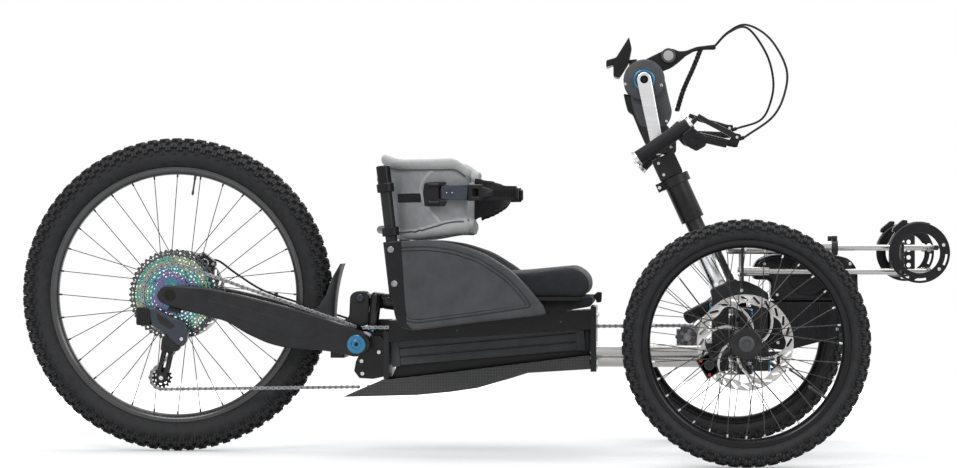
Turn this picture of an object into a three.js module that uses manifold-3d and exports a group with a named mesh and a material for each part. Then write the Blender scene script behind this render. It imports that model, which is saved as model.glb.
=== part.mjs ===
import * as THREE from 'three';
import { mergeVertices } from 'three/addons/utils/BufferGeometryUtils.js';
import Module from 'manifold-3d';

// Recumbent off-road handcycle: one driven rear wheel on a sprung swingarm, two leaning front wheels.
// Lengths in millimetres. X points forward, Y to the rider's left, Z up. The origin lies on the
// ground under the middle of the overall length. Outlines in the side plane are lists of [x, z].

// General sizes
const gap = 0.3;
const overrun = 3;
const spinGap = 0.35;

// Numbers of sides of round forms
const fineSides = 18;
const midSides = 10;
const plainSides = 8;
const thinSides = 6;
const bundleSteps = 6;
const loopSteps = 16;
const bowSteps = 5;
// A corner of an offset outline is never moved further than the distance over this part
const cornerShare = 0.4;
const spokeSides = 3;

// Rear wheel
const rearAxle = [-681, 354];
const tyreSeat = 0.5;
const rearRimRadius = 288.5;
const rearRimDepth = 17.5;
const rearRim = { outer: rearRimRadius, inner: rearRimRadius - rearRimDepth, halfWidth: 15, bedWidth: 8, steps: 32 };
const rearTyreHeight = 60;
const rearTyreBead = rearRimRadius + tyreSeat;
const rearTyre = { crown: rearTyreBead + rearTyreHeight, bead: rearTyreBead, halfWidth: 32, knob: 5, rows: 18 };
const rearHub = { radius: 15, flange: 30, flangeAt: 27, flangeThick: 4, end: 36, spokeCircle: 27 };
const rearSpokes = { count: 16, radius: 1.3, offset: 3.6, rimInset: 4 };
const rearAxleRod = { radius: 8 };

// Front wheels
const frontAxle = [587.5, 260];
const halfTrack = 360;
const frontRimRadius = 217;
const frontRimDepth = 17;
const frontRim = { outer: frontRimRadius, inner: frontRimRadius - frontRimDepth, halfWidth: 16, bedWidth: 9, steps: 28 };
const frontTyreHeight = 37.5;
const frontTyreBead = frontRimRadius + tyreSeat;
const frontTyre = { crown: frontTyreBead + frontTyreHeight, bead: frontTyreBead, halfWidth: 30, knob: 5, rows: 14 };
const frontHub = { radius: 17, flange: 31, flangeAt: 24, flangeThick: 4, inner: 38, outer: 32, spokeCircle: 28 };
const frontSpokes = { count: 16, radius: 1.3, offset: 3.6, rimInset: 4 };

// Shares of half the tyre's width and of the height from bead to crown
const tyreBeadShare = 0.45;
const tyreWallShares = [1, 0.42];
const tyreShoulderShares = [0.78, 0.86];
const tyreCentreShare = 0.06;
const knobWallShare = 0.62;
const knobFlatShare = 0.55;
const knobSpanShares = [0.06, 0.44];
const spokeCrossShare = 1.6;

// Brake rotors and calipers
const rotor = { radius: 101.5, ring: 84, arm: 78, boss: 33, thick: 1.8, arms: 6, armWidth: 9, slots: 6 };
// Part of an arm's step that it sweeps between boss and ring, and part of a slot's step before the first slot
const armSweepShare = 0.9;
const slotStartShare = 0.25;
const rotorSlot = { inner: 87.5, outer: 97.5, width: 6, lean: 4 };
const rotorAt = { rear: 46, front: 40 };
const caliper = { length: 46, height: 30, wall: 11, slot: 5, reach: 24 };

// Cassette, largest sprocket first: outer radius, number of teeth, thickness
const sprockets = [
  { radius: 101, teeth: 26, thick: 7 },
  { radius: 83, teeth: 21, thick: 7 },
  { radius: 66, teeth: 17, thick: 7 },
  { radius: 50, teeth: 13, thick: 7 },
  { radius: 31, teeth: 9, thick: 7 },
];
const cassetteInner = 38;
const toothDepth = 4;
const sprocketHoles = { count: 8, radius: 6.5, circle: 84 };

// Rear derailleur
const derailleurY = -74;
const derailleurBody = [[-757, 327], [-734, 327], [-716, 319], [-690, 324], [-662, 316], [-652, 302], [-662, 288],
  [-686, 284], [-722, 283], [-757, 287]];
const derailleurThick = 20;
const knuckleOutline = [[-692, 292], [-656, 292], [-645, 262], [-668, 226], [-706, 232]];
const knuckleThick = 20;
const hanger = { outline: [[-690, 320], [-660, 312], [-660, 322.7], [-684, 329.3]], back: -84, front: -74.3 };
const cagePivot = [-690, 238];
const lowerJockeyAt = [-706, 168];
const cageWidth = 24;
const cageThick = 3;
const cageHalf = 9;
const jockey = { upper: 15, lower: 24, teeth: 12, tooth: 3, thick: 5, bore: 5 };

// Chain
const chainY = -55.5;
const chainHalf = 3.2;
const chainPitch = 25.4;
const chainPlate = 4.6;
const chainWaist = 2.8;
const chainSeat = 0.6;
const arcStepDegrees = 24;
const chainSprocket = 66;
const upperRunEnd = [-270, 284];
const lowerRunEnd = [-262, 149];
const frontRunStart = [-240, 150];
const frontRunTurns = [[60, 176], [120, 193], [200, 199], [300, 230]];
const frontRunEnd = [-250, 281.5];
const driveSprocket = { at: [470, 262], radius: 24, teeth: 12, thick: 5, bore: 6 };

// Swingarm
const swingPivot = [-262, 245.6];
const armOuterY = 95;
const armInnerY = 64;
const dropoutInnerY = 77;
const dropoutFront = -566;
const armOutline = [[-700, 371], [-689, 376.4], [-606, 371.3], [-528.8, 355.9], [-425, 329.8], [-352.7, 309],
  [-290, 288], [-262, 277], [-241, 268], [-230, 250], [-236, 230], [-262, 216], [-300, 226], [-347, 232.6],
  [-420, 236.8], [-461.5, 247], [-508, 268], [-554.5, 296.3], [-616.7, 311.8], [-684, 329.8], [-706, 340],
  [-712, 355]];
const armPocket = [[-600, 344], [-520, 326], [-430, 304], [-352, 284], [-352, 258], [-420, 262], [-500, 292],
  [-590, 322]];
const pocketDepth = 9;
const bridge = { back: -324, front: -294, low: 214, high: 262 };
const towerOutline = [[-324, 240], [-294, 240], [-291, 276], [-280, 300], [-245, 326], [-241, 352], [-250, 362],
  [-274, 362], [-283, 350], [-300, 312], [-324, 276]];
const towerPlates = { inner: 16, outer: 26 };
const shockTop = [-262, 346.6];
const pivotAxle = { radius: 10, cap: 21, capThick: 6, half: 95.3 };
const pivotBoss = { radius: 24, half: 63.7 };
const shockBoltRadius = 5;
const blade = [[-321, 262.3], [-322, 310], [-317, 366], [-305, 424]];
const bladeThick = 2.5;
const bladeHalf = 42;

// Shock absorber
const shockFront = [-99, 325];
const shockBody = { eye: 13, radius: 18, start: 24, length: 84, piggyback: 13, piggyLength: 82, piggyDrop: 24, piggyY: -39.2,
  piggyX: 38, neck: 9 };
const shockShaft = { radius: 5, eye: 13, collar: 22, collarThick: 6 };
const shockEyeHalf = 15.4;

// Frame under the seat
const castingHalf = 40;
const castingOutline = [[-262, 222], [-238, 262], [-214, 262], [-203, 250], [-203, 172], [-232, 166], [-262, 168],
  [-274, 184], [-270, 205]];
const stub = { radius: 21, z: 203, from: -243, to: -200 };
const gussetOutline = [[-240, 258], [-193, 258], [-193, 299], [-222, 299], [-234, 282]];
const rearBracket = { back: -205, front: -193, low: 168, high: 272, half: 66 };
const frontBracket = { back: 257, front: 269, low: 186, high: 330, half: 86 };
const bracketWindow = { inner: -47, outer: -64, lowRun: [196, 224], highRun: [278, 297] };
const beamOutline = [[-192.7, 250], [256.7, 279], [256.7, 322], [60, 308], [-192.7, 298]];
const beamHalf = 66;
const beamWall = 4;
const batteryStart = [-193.1, 223.5];
const batteryEnd = [256.4, 263.6];
const batteryPack = { height: 58, half: 45, cap: 62, capHalf: 47, capLength: 22, groove: 3, grooveAt: 10 };
const panHalf = 68;
const panWall = 2.5;
const panDeep = 22.5;
const panNotchDrop = 27;
const panOutline = [[-296, 127], [-205, 165.6], [-195, 166], [253, 222], [256, 190.9], [117, 182], [66, 166], [4, 148],
  [-56.4, 139], [-130, 132]];

// Front tubes
const rail = { radius: 12, y: 72, z: 234, from: 269.3, to: 511.7 };
const backbone = { radius: 20, z: 213, from: 269.3, to: 511.7 };

// Front block with the slot that the two cross beams pivot in
const blockHalf = 34;
const blockOutline = [[525, 186], [562, 186], [562, 346], [613, 346], [613, 186], [650, 186], [650, 358], [628, 374],
  [600, 386], [582, 386], [577, 390.9], [521, 365.4], [525, 350]];
const crossPlate = { back: 512, front: 525, low: 190, high: 250, half: 86 };
const chainGuide = { back: 446, front: 511.7, low: 246, high: 280, inner: -42, outer: -47, stubRadius: 6, stubEnd: -58 };
const leanPin = { radius: 8, to: 649 };
const beamLevels = { lower: 200, upper: 320 };
const damper = { radius: 15, from: [470, 60, 300], to: [524, 30, 330] };

// Cross beams, uprights, knuckles and tie rod
const kingPinInset = 102;
const pivotY = halfTrack - kingPinInset;
const outboardOf = { beam: 14, ear: 19, tongue: 10 };
const inboardOf = { fork: 21, spineInner: 36, spineOuter: 22, tongue: 10 };
const beam = { x: 587.5, depth: 30, half: 9, end: pivotY + outboardOf.beam, fork: pivotY - inboardOf.fork, slot: 16.4,
  boss: 17 };
const upright = { spineInner: pivotY - inboardOf.spineInner, spineOuter: pivotY - inboardOf.spineOuter, low: 218,
  high: 302, ear: 9, earEnd: pivotY + outboardOf.ear, depth: 30, tongue: 15, tongueInner: pivotY - inboardOf.tongue,
  tongueOuter: pivotY + outboardOf.tongue, tongueEnd: 10, pin: 6, pinHalf: 15 };
const kingPin = { radius: 8, body: 17, low: 227.4, high: 292.6 };
const stubAxle = { boss: 16, bossShort: 54, radius: 9.7, past: 14 };
const stubBossEnd = halfTrack - stubAxle.bossShort;
const stubAxleEnd = halfTrack + stubAxle.past;
const steerArm = { reach: 72.5, half: 8, low: 229, high: 239, ballPin: 4.5, ballLow: 195, eye: 11 };
const tieRod = { z: 200, half: 4, eye: 12, slot: 5, play: 0.97 };
const caliperAngle = { front: 212, rear: 52 };
const caliperReach = [-72, -45];
const caliperStay = { from: [-630, 59, 420], to: [-618, 84, 358], radius: 6 };

// Raked steering column, laid out along its own axis from the point at its foot
const columnFoot = [560.5, 353];
const columnRake = -24.5;
const headTube = { radius: 29.5, inner: 24, start: 28, end: 132 };
const columnTube = { radius: 19.7, start: 30, end: 300 };
const columnBearing = { radius: 23.6, length: 14, inset: 8 };
const sleeve = { radius: 26.7, start: 186, end: 272 };
const clampCollar = { radius: 33, start: 272.3, end: 292, earReach: 44, earHalf: 9 };
const stemBlock = { start: 292.3, end: 344, back: 30, front: 24, half: 27 };

// Crank head in the side plane
const crankAxis = [374.6, 833];
const casing = [[340, 835], [342, 800], [352, 760], [372, 700], [384, 676], [420, 668], [446, 672], [436, 706],
  [430, 770], [428, 800], [421, 835], [408, 866], [378, 882], [350, 868]];
const casingHalf = 24;
const rearPod = [[325, 812], [341.7, 806], [351.7, 764], [364, 718], [352, 716], [338, 742], [327, 776]];
const rearPodHalf = 18;
const gearDisc = { radius: 46, recess: 31, boss: 24, start: 24.3, end: 40, recessDepth: 3 };
const spindle = { radius: 10, half: 62 };
const crank = { length: 152, lean: 11.2, inner: 50, outer: 62, rootRadius: 19, tipRadius: 14 };
const pedalPin = { radius: 6, end: 128 };
const grip = { y: 150, radius: 18, length: 98, clampRadius: 20.5, clampLength: 8, hub: 13, hubStart: 88 };
const gripTilt = { right: 33.7, left: 45 };
const perch = { width: 20, length: 26 };
const brakeBody = { from: [66, -12], to: [144.8, -97.3], radius: 7.5 };
const cheek = { outline: [[163.3, -82.7], [152.7, -70.7], [128.8, -79.5], [144.8, -97.3]], inner: 6.6, outer: 9.6 };
const lever = { root: [152, -82], rootHalf: 7, tip: [108, 10], tipHalf: 4.5, thick: 12, pin: 3.5 };

// Display, boom and hoses
const displayOutline = [[290, 878], [312, 884], [341, 930], [347, 905], [340, 872], [318, 838], [306, 842], [306, 868],
  [290, 862]];
const displayHalf = 32;
const displayArm = [[341, 866], [354.6, 871], [359.2, 882], [341, 880]];
const boomOutline = [[354, 868], [362, 888], [400, 914], [431, 928], [470, 928], [530, 915], [530, 904], [490, 904],
  [455, 890], [440, 868], [424, 862], [400, 856], [376, 864]];
const boomHalf = 11;
const boomDisc = { at: [429, 888], radius: 16, half: 17 };
const hoseRadius = 2.6;
const cableBundle = { radius: 5, points: [[500, 0, 901.6], [484, 0, 862], [462, 0, 812], [448, 0, 766]] };
const rightLoop = [[532.3, -3, 911], [562, -12, 941], [601, -34, 955], [650, -74, 922], [684, -112, 856], [681, -138, 800],
  [654, -150, 745], [592, -150, 700]];
const leftLoop = [[532.3, 3, 911], [564, 14, 942], [606, 40, 954], [650, 80, 900], [668, 116, 840], [662, 140, 790],
  [640, 150, 752], [586, 150, 733]];

// Drive unit and its cover
const motorOutline = [[650.3, 237], [690, 232], [800, 262], [838, 290], [838, 341.7], [650.3, 341.7]];
const motorHalf = 44;
const coverOutline = [[655, 342], [655, 389], [616, 389], [613, 410], [624, 432], [650, 445], [700, 449], [790, 446],
  [828, 436], [845, 412], [847, 342]];
const coverHalf = 50;

// Foot cradle
const footRod = { radius: 6.3, y: 62, high: 460, low: 407, from: 610, to: 1003 };
const footSocket = { radius: 14, from: 560, to: 800, collar: 16.5, collarLength: 14 };
const lowSocket = { radius: 10, from: 585, to: 650 };
const socketPlate = { back: 585, front: 597, low: 386.3, high: 476, half: 78 };
const footPlate = { x: 931, thick: 6, low: 396, high: 472, half: 149.7 };
const toePlate = { x: 1003, thick: 6, low: 398, high: 472, half: 149.7 };
const heelPlate = { from: 934, to: 975, low: 404, high: 490, half: 3, hole: 5, columns: 2, rows: 4 };
const footRing = { at: [969, 449], radius: 65.5, inner: 48, start: 150, end: 158, slotWidth: 5, slotStep: 50,
  slotReach: 18 };
const footStrap = { inner: 63.5, outer: 68.5, from: 70, to: 165, start: 128, end: 158, ratchet: 20, ratchetHeight: 12 };

// Seat
const guard = { outer: 205, inner: 178, wall: 4, groove: 2, grooveWidth: 5, grooveInset: 20 };
const guardOutline = [[-188.3, 465.5], [-181, 473], [-153.7, 475], [-95.3, 478], [-36.8, 470], [25.9, 449.5],
  [86.5, 411.4], [127.7, 370.3], [158, 332], [163.8, 315], [4.3, 296.7], [-127.7, 279.4], [-158, 288],
  [-166.7, 311.8], [-181.8, 391.9]];
const pan = { back: -186, front: 236, low: 345, high: 351, half: 177.6, wingHalf: 200.7, wingBack: -160, wingFront: 130 };
const panNotch = { from: -192, to: -100, half: 30 };
const panRibs = [{ x: -60, low: 303.9 }, { x: 40, low: 307.8 }];
const panRib = { half: 4, wide: 60 };
const cushionOutline = [[-132, 351.4], [238, 351.4], [257, 360], [262, 378], [257, 397], [243, 411], [225, 416],
  [110, 405], [-20, 398], [-120, 402], [-138, 392], [-140, 364]];
const cushionHalf = 172;
const cushionShares = [[0, 0.9], [0.04, 0.97], [0.12, 1], [0.88, 1], [0.96, 0.97], [1, 0.9]];
// Corner of the cushion's outline that its sides draw in towards
const cushionNose = 7;
const post = { radius: 16, y: 150, low: [-163.8, 351.4], high: [-197.8, 640], socket: 20, socketEnd: 474 };
const backBar = { radius: 9, levels: [500, 612], bowY: 62, lift: 1.9 };
const postClamp = { radius: 21, level: 592, length: 18 };
const guardRelief = [[-166, 455], [-150, 461], [-95, 463], [-40, 456], [18, 437], [75, 400], [112, 363], [135, 330],
  [8, 311], [-120, 294], [-145, 300], [-152, 320]];
// Torso wrap: plan half sizes, where it ends at the front, heights at the back and at the front edge
const wrap = { x: -60, depth: 132, width: 162, thick: 22, open: 66, steps: 22 };
// Part of the way to the wrap's front edge where its top starts to fall
const wrapFallShare = 0.55;
const wrapBack = [482, 668];
const wrapFront = [524, 634];
const wrapRoll = 7;
const bellyPad = { x: -20, depth: 88, width: 118, thick: 14, spread: 78, low: 524, high: 618, steps: 8 };
const strapPath = [[-104, 169.6], [-60, 177.6], [-20, 172], [6, 162], [40, 137], [43.5, 93.8]];
const strapBand = { thick: 4, low: 562, high: 596 };
const buckle = { from: [6, 162], to: [92, 99], thick: 16, low: 556, high: 604 };

const wasm = await Module();
wasm.setup();

const radians = THREE.MathUtils.degToRad;

// A material of one colour, roughness and metalness
function finish(color, roughness, metalness) {
  return new THREE.MeshStandardMaterial({ color, roughness, metalness });
}

const paintBlack = () => finish(0x17181a, 0.45, 0.1);
const plasticBlack = () => finish(0x1c1d1f, 0.6, 0);
const rubberBlack = () => finish(0x141414, 0.85, 0);
const clothBlack = () => finish(0x1a1b1c, 0.95, 0);
const clothGrey = () => finish(0x77787a, 0.9, 0);
const polished = () => finish(0xc9cbce, 0.25, 1);
const steel = () => finish(0x9a9a98, 0.4, 1);
const blueAlloy = () => finish(0x2b6f9e, 0.3, 1);
const greyPlastic = () => finish(0x3b3d40, 0.5, 0);

// Closed body with shared corners, no collapsed faces and its faces turned outwards
function welded(geometry) {
  const bare = geometry.clone();
  bare.deleteAttribute('normal');
  bare.deleteAttribute('uv');
  const merged = mergeVertices(bare);
  const from = merged.index.array;
  const at = merged.attributes.position;
  const kept = [];
  let volume = 0;
  const a = new THREE.Vector3();
  const b = new THREE.Vector3();
  const c = new THREE.Vector3();
  for (let i = 0; i < from.length; i += 3) {
    const [p, q, r] = [from[i], from[i + 1], from[i + 2]];
    if (p === q || q === r || r === p) continue;
    kept.push([p, q, r]);
    a.fromBufferAttribute(at, p);
    b.fromBufferAttribute(at, q);
    c.fromBufferAttribute(at, r);
    volume += a.dot(b.cross(c));
  }
  const index = kept.flatMap(([p, q, r]) => (volume < 0 ? [p, r, q] : [p, q, r]));
  merged.setIndex(index);
  return merged;
}

function solid(geometry) {
  const body = welded(geometry);
  const vertProperties = new Float32Array(body.attributes.position.array);
  const triVerts = new Uint32Array(body.index.array);
  return new wasm.Manifold(new wasm.Mesh({ numProp: 3, vertProperties, triVerts }));
}

function geometryOf(body) {
  const mesh = body.getMesh();
  const geometry = new THREE.BufferGeometry();
  geometry.setAttribute('position', new THREE.BufferAttribute(new Float32Array(mesh.vertProperties), 3));
  geometry.setIndex(new THREE.BufferAttribute(new Uint32Array(mesh.triVerts), 1));
  return geometry;
}

function join(...pieces) {
  return geometryOf(pieces.map(solid).reduce((whole, next) => whole.add(next)));
}

function cut(base, ...tools) {
  const tool = tools.map(solid).reduce((whole, next) => whole.add(next));
  return geometryOf(solid(base).subtract(tool));
}

// Block between two corners
function block(x0, x1, y0, y1, z0, z1) {
  const box = new THREE.BoxGeometry(Math.abs(x1 - x0), Math.abs(y1 - y0), Math.abs(z1 - z0));
  return box.translate((x0 + x1) / 2, (y0 + y1) / 2, (z0 + z1) / 2);
}

// Round bar between two points, with a second radius where it tapers
function bar(from, to, radius, sides = plainSides, endRadius = radius) {
  const start = new THREE.Vector3(...from);
  const end = new THREE.Vector3(...to);
  const way = end.clone().sub(start);
  const rod = new THREE.CylinderGeometry(endRadius, radius, way.length(), sides);
  rod.applyQuaternion(new THREE.Quaternion().setFromUnitVectors(new THREE.Vector3(0, 1, 0), way.normalize()));
  return rod.translate(...start.add(end).divideScalar(2).toArray());
}

// Round bar across the machine
function crossBar(x, z, radius, y0, y1, sides = plainSides) {
  return bar([x, y0, z], [x, y1, z], radius, sides);
}

// Ring or disc round an axis that runs along Y
function ringAcross(x, z, inner, outer, y0, y1, sides = fineSides) {
  const profile = [[inner, y0], [outer, y0], [outer, y1], [inner, y1], [inner, y0]];
  return new THREE.LatheGeometry(profile.map((p) => new THREE.Vector2(...p)), sides).translate(x, 0, z);
}

// Radius of a faceted hole that a faceted shaft turns in without touching
function boreFor(radius, sides = plainSides) {
  return (radius + spinGap) / Math.cos(Math.PI / sides);
}

function shapeOf(points, holes = []) {
  const shape = new THREE.Shape(points.map((p) => new THREE.Vector2(...p)));
  holes.forEach((hole) => shape.holes.push(new THREE.Path(hole.map((p) => new THREE.Vector2(...p)))));
  return shape;
}

// Plate cut to an outline in the side plane, from one Y to another
function plate(points, y0, y1, holes = []) {
  const depth = Math.abs(y1 - y0);
  const body = new THREE.ExtrudeGeometry(shapeOf(points, holes), { depth, bevelEnabled: false });
  return body.rotateX(Math.PI / 2).translate(0, Math.max(y0, y1), 0);
}

function circlePoints([x, z], radius, sides, startTurn = 0) {
  return Array.from({ length: sides }, (_, i) => {
    const turn = startTurn + (2 * Math.PI * i) / sides;
    return [x + radius * Math.cos(turn), z + radius * Math.sin(turn)];
  });
}

// Outline moved inwards by a distance, corner by corner
function inset(points, distance) {
  const area = points.reduce((sum, [x, z], i) => {
    const [nx, nz] = points[(i + 1) % points.length];
    return sum + x * nz - nx * z;
  }, 0);
  const side = Math.sign(area);
  return points.map(([x, z], i) => {
    const [px, pz] = points[(i + points.length - 1) % points.length];
    const [nx, nz] = points[(i + 1) % points.length];
    const back = new THREE.Vector2(x - px, z - pz).normalize();
    const on = new THREE.Vector2(nx - x, nz - z).normalize();
    const half = back.clone().add(on).normalize();
    const reach = distance / Math.max(half.dot(on), cornerShare);
    return [x - side * half.y * reach, z + side * half.x * reach];
  });
}

// Smooth tube of a round section through points
function hose(points, radius, sides, steps) {
  const path = new THREE.CatmullRomCurve3(points.map((p) => new THREE.Vector3(...p)));
  const section = shapeOf(circlePoints([0, 0], radius, sides));
  return new THREE.ExtrudeGeometry(section, { steps, bevelEnabled: false, extrudePath: path });
}

// Closed skin through rings of the same number of points, with flat ends
function loft(rings) {
  const count = rings[0].length;
  const corners = rings.flat();
  const faces = [];
  for (let r = 0; r + 1 < rings.length; r += 1) {
    for (let i = 0; i < count; i += 1) {
      const a = r * count + i;
      const b = r * count + ((i + 1) % count);
      faces.push(a, b, b + count, a, b + count, a + count);
    }
  }
  const last = (rings.length - 1) * count;
  for (let i = 1; i + 1 < count; i += 1) {
    faces.push(0, i + 1, i);
    faces.push(last, last + i, last + i + 1);
  }
  const geometry = new THREE.BufferGeometry();
  geometry.setAttribute('position', new THREE.Float32BufferAttribute(corners.flat(), 3));
  geometry.setIndex(faces);
  return geometry;
}

// Skin through rings that close on the first one again
function loopLoft(rings) {
  const count = rings[0].length;
  const faces = [];
  for (let r = 0; r < rings.length; r += 1) {
    const next = ((r + 1) % rings.length) * count;
    for (let i = 0; i < count; i += 1) {
      const j = (i + 1) % count;
      faces.push(r * count + i, r * count + j, next + j, r * count + i, next + j, next + i);
    }
  }
  const geometry = new THREE.BufferGeometry();
  geometry.setAttribute('position', new THREE.Float32BufferAttribute(rings.flat().flat(), 3));
  geometry.setIndex(faces);
  return geometry;
}

const machine = new THREE.Group();

// Named piece, hung in a group
function piece(parent, name, geometry, material) {
  const mesh = new THREE.Mesh(welded(geometry), material);
  mesh.name = name;
  parent.add(mesh);
  return mesh;
}

function groupAt(parent, x, y, z) {
  const group = new THREE.Group();
  group.position.set(x, y, z);
  parent.add(group);
  return group;
}

// Tyre: solid section whose tread rises in two staggered rows of knobs, a flat of one knob at the foot
function tyreGeometry(t) {
  const height = t.crown - t.bead;
  const turnOf = (row, share) => (2 * Math.PI * (row + share)) / t.rows;
  const [from, to] = knobSpanShares;
  const flatHalf = (Math.PI * (to - from)) / t.rows;
  const top = (t.crown + t.knob) / Math.cos(flatHalf);
  const rings = [];
  for (let row = 0; row < t.rows; row += 1) {
    for (const share of [from, to, from + 0.5, to + 0.5]) {
      const left = share < 0.5;
      const turn = turnOf(row, share - (from + to) / 2) + Math.PI / 2;
      const half = (side, raised) => {
        const wall = raised ? knobWallShare : tyreWallShares[1];
        const shoulder = raised
          ? [top, side * t.halfWidth * knobFlatShare]
          : [t.bead + height * tyreShoulderShares[1], side * t.halfWidth * tyreShoulderShares[0]];
        return [
          [t.bead / Math.cos(flatHalf), side * t.halfWidth * tyreBeadShare],
          [t.bead + height * wall, side * t.halfWidth * tyreWallShares[0]],
          shoulder,
          [raised ? top : t.crown, side * t.halfWidth * tyreCentreShare],
        ];
      };
      const section = [...half(-1, !left), ...half(1, left).reverse()];
      rings.push(section.map(([r, y]) => [r * Math.cos(turn), y, -r * Math.sin(turn)]));
    }
  }
  return loopLoft(rings);
}

// Wheel without its tyre: rim, hub shell with two flanges and crossed spokes, in one piece
function wheelGeometry(r, h, s, inner, outer, capped) {
  const rim = [[r.inner, -r.bedWidth], [r.outer, -r.halfWidth], [r.outer, r.halfWidth], [r.inner, r.bedWidth],
    [r.inner, -r.bedWidth]];
  const parts = [new THREE.LatheGeometry(rim.map((p) => new THREE.Vector2(...p)), r.steps)];
  parts.push(crossBar(0, 0, h.radius, inner, outer, midSides));
  for (const side of [-1, 1]) {
    const y = side * h.flangeAt;
    parts.push(crossBar(0, 0, h.flange, y, y - side * h.flangeThick, midSides));
    for (let i = 0; i < s.count / 2; i += 1) {
      const lean = i % 2 ? 1 : -1;
      const step = (4 * Math.PI) / s.count;
      const rootTurn = step * (i + (side > 0 ? 0.5 : 0));
      const tipTurn = rootTurn + lean * step * spokeCrossShare;
      const rootY = y - side * (h.flangeThick / 2) + (lean * side * s.offset) / 2;
      const tip = r.inner + s.rimInset;
      const from = [h.spokeCircle * Math.cos(rootTurn), rootY, h.spokeCircle * Math.sin(rootTurn)];
      const to = [tip * Math.cos(tipTurn), (side * lean * s.offset) / 2, tip * Math.sin(tipTurn)];
      parts.push(bar(from, to, s.radius, spokeSides));
    }
  }
  return cut(join(...parts), ...capped);
}

// Brake rotor: slotted ring on curved arms round a bored boss
function rotorGeometry() {
  const windows = [];
  const step = (2 * Math.PI) / rotor.arms;
  for (let i = 0; i < rotor.arms; i += 1) {
    const edge = [];
    const stations = [0, 0.5, 1];
    for (const share of stations) {
      const radius = rotor.boss + (rotor.arm - rotor.boss) * share;
      const turn = step * i + share * step * armSweepShare + rotor.armWidth / radius / 2;
      edge.push([radius * Math.cos(turn), radius * Math.sin(turn)]);
    }
    for (const share of stations.slice().reverse()) {
      const radius = rotor.boss + (rotor.arm - rotor.boss) * share;
      const turn = step * (i + 1) + share * step * armSweepShare - rotor.armWidth / radius / 2;
      if (share === 1) {
        const mid = step * (i + 0.5) + step * armSweepShare;
        edge.push([rotor.ring * Math.cos(mid), rotor.ring * Math.sin(mid)]);
      }
      edge.push([radius * Math.cos(turn), radius * Math.sin(turn)]);
    }
    windows.push(edge);
  }
  const slots = Array.from({ length: rotor.slots }, (_, i) => {
    const turn = (2 * Math.PI * (i + slotStartShare)) / rotor.slots;
    const near = rotorSlot.inner;
    const far = rotorSlot.outer;
    const a = rotorSlot.width / 2 / near;
    const skew = rotorSlot.lean / near;
    return [[near, turn - a], [near, turn + a], [far, turn + a + skew], [far, turn - a + skew]]
      .map(([radius, angle]) => [radius * Math.cos(angle), radius * Math.sin(angle)]);
  });
  const rim = circlePoints([0, 0], rotor.radius, fineSides + thinSides);
  return plate(rim, 0, rotor.thick, [...windows, ...slots]);
}

// Toothed disc: pointed teeth round a circle
function toothedOutline([x, z], radius, teeth, depth) {
  const points = [];
  const step = (2 * Math.PI) / teeth;
  for (let i = 0; i < teeth; i += 1) {
    const stations = [[0, 0], [0.5, depth]];
    for (const [share, drop] of stations) {
      const turn = step * (i + share);
      points.push([x + (radius - drop) * Math.cos(turn), z + (radius - drop) * Math.sin(turn)]);
    }
  }
  return points;
}

// Rear wheel with its rotor, turning on a rod fixed between the dropouts
const [rearX, rearZ] = rearAxle;
const rear = groupAt(machine, rearX, 0, rearZ);
const rearBore = crossBar(0, 0, boreFor(rearAxleRod.radius), -rearHub.end - overrun, armInnerY);
const rearWheelBody = wheelGeometry(rearRim, rearHub, rearSpokes, -rearHub.end, rearHub.end, [rearBore]);
const rearDisc = cut(join(rotorGeometry().translate(0, rotorAt.rear, 0),
  crossBar(0, 0, rotor.boss - overrun, rearHub.end - overrun, rotorAt.rear + rotor.thick, midSides)), rearBore);
piece(rear, 'rear_wheel', join(rearWheelBody, rearDisc), paintBlack());
piece(rear, 'rear_tyre', tyreGeometry(rearTyre), rubberBlack());

// Cassette: toothed sprockets stepped outwards, the largest one pierced
const cassetteParts = [];
let cassetteY = -cassetteInner;
for (const s of sprockets) {
  cassetteParts.push(plate(toothedOutline([0, 0], s.radius, s.teeth, toothDepth), cassetteY, cassetteY - s.thick));
  cassetteY -= s.thick;
}
const cassetteHoles = circlePoints([0, 0], sprocketHoles.circle + sprocketHoles.radius, sprocketHoles.count)
  .map(([x, z]) => crossBar(x, z, sprocketHoles.radius / 2, -cassetteInner + overrun,
    -cassetteInner - sprockets[0].thick - overrun, thinSides));
const cassetteShaft = crossBar(0, 0, boreFor(rearAxleRod.radius), -cassetteInner + overrun, cassetteY - overrun);
piece(rear, 'cassette', cut(join(...cassetteParts), cassetteShaft, ...cassetteHoles), steel());

// Frame of a caliper over a rotor's edge, opened by a slot
function caliperGeometry(degrees, y, radius) {
  const [length, half] = [caliper.length, caliper.wall + caliper.slot / 2];
  const body = block(-length / 2, length / 2, -half, half, -caliper.reach, caliper.height - caliper.reach);
  const slot = block(-length, length, -caliper.slot / 2, caliper.slot / 2, -caliper.height, overrun);
  const shaped = cut(body, slot).translate(0, y, radius);
  return shaped.rotateY(radians(90 - degrees));
}

// Swingarm: two deep arms joined by a bridge behind the pivot, with the shock tower on it
const [pivotX, pivotZ] = swingPivot;
function arm(side) {
  const outer = plate(armOutline, side * armOuterY, side * armInnerY);
  const room = block(rearX - headTube.end, dropoutFront, side * dropoutInnerY, side * (armInnerY - overrun),
    rearZ - headTube.end, rearZ + headTube.end);
  const pocket = plate(armPocket, side * (armOuterY + overrun), side * (armOuterY - pocketDepth));
  const pivotHole = crossBar(pivotX, pivotZ, boreFor(pivotAxle.radius, midSides), side * (armInnerY - overrun),
    side * (armOuterY + overrun), midSides);
  return cut(outer, room, ...(side > 0 ? [pocket] : []), pivotHole);
}
const bridgeBlock = block(bridge.back, bridge.front, -armInnerY - overrun, armInnerY + overrun, bridge.low, bridge.high);
const towers = [-1, 1].map((side) => plate(towerOutline, side * towerPlates.inner, side * towerPlates.outer));
const [topX, topZ] = shockTop;
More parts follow.
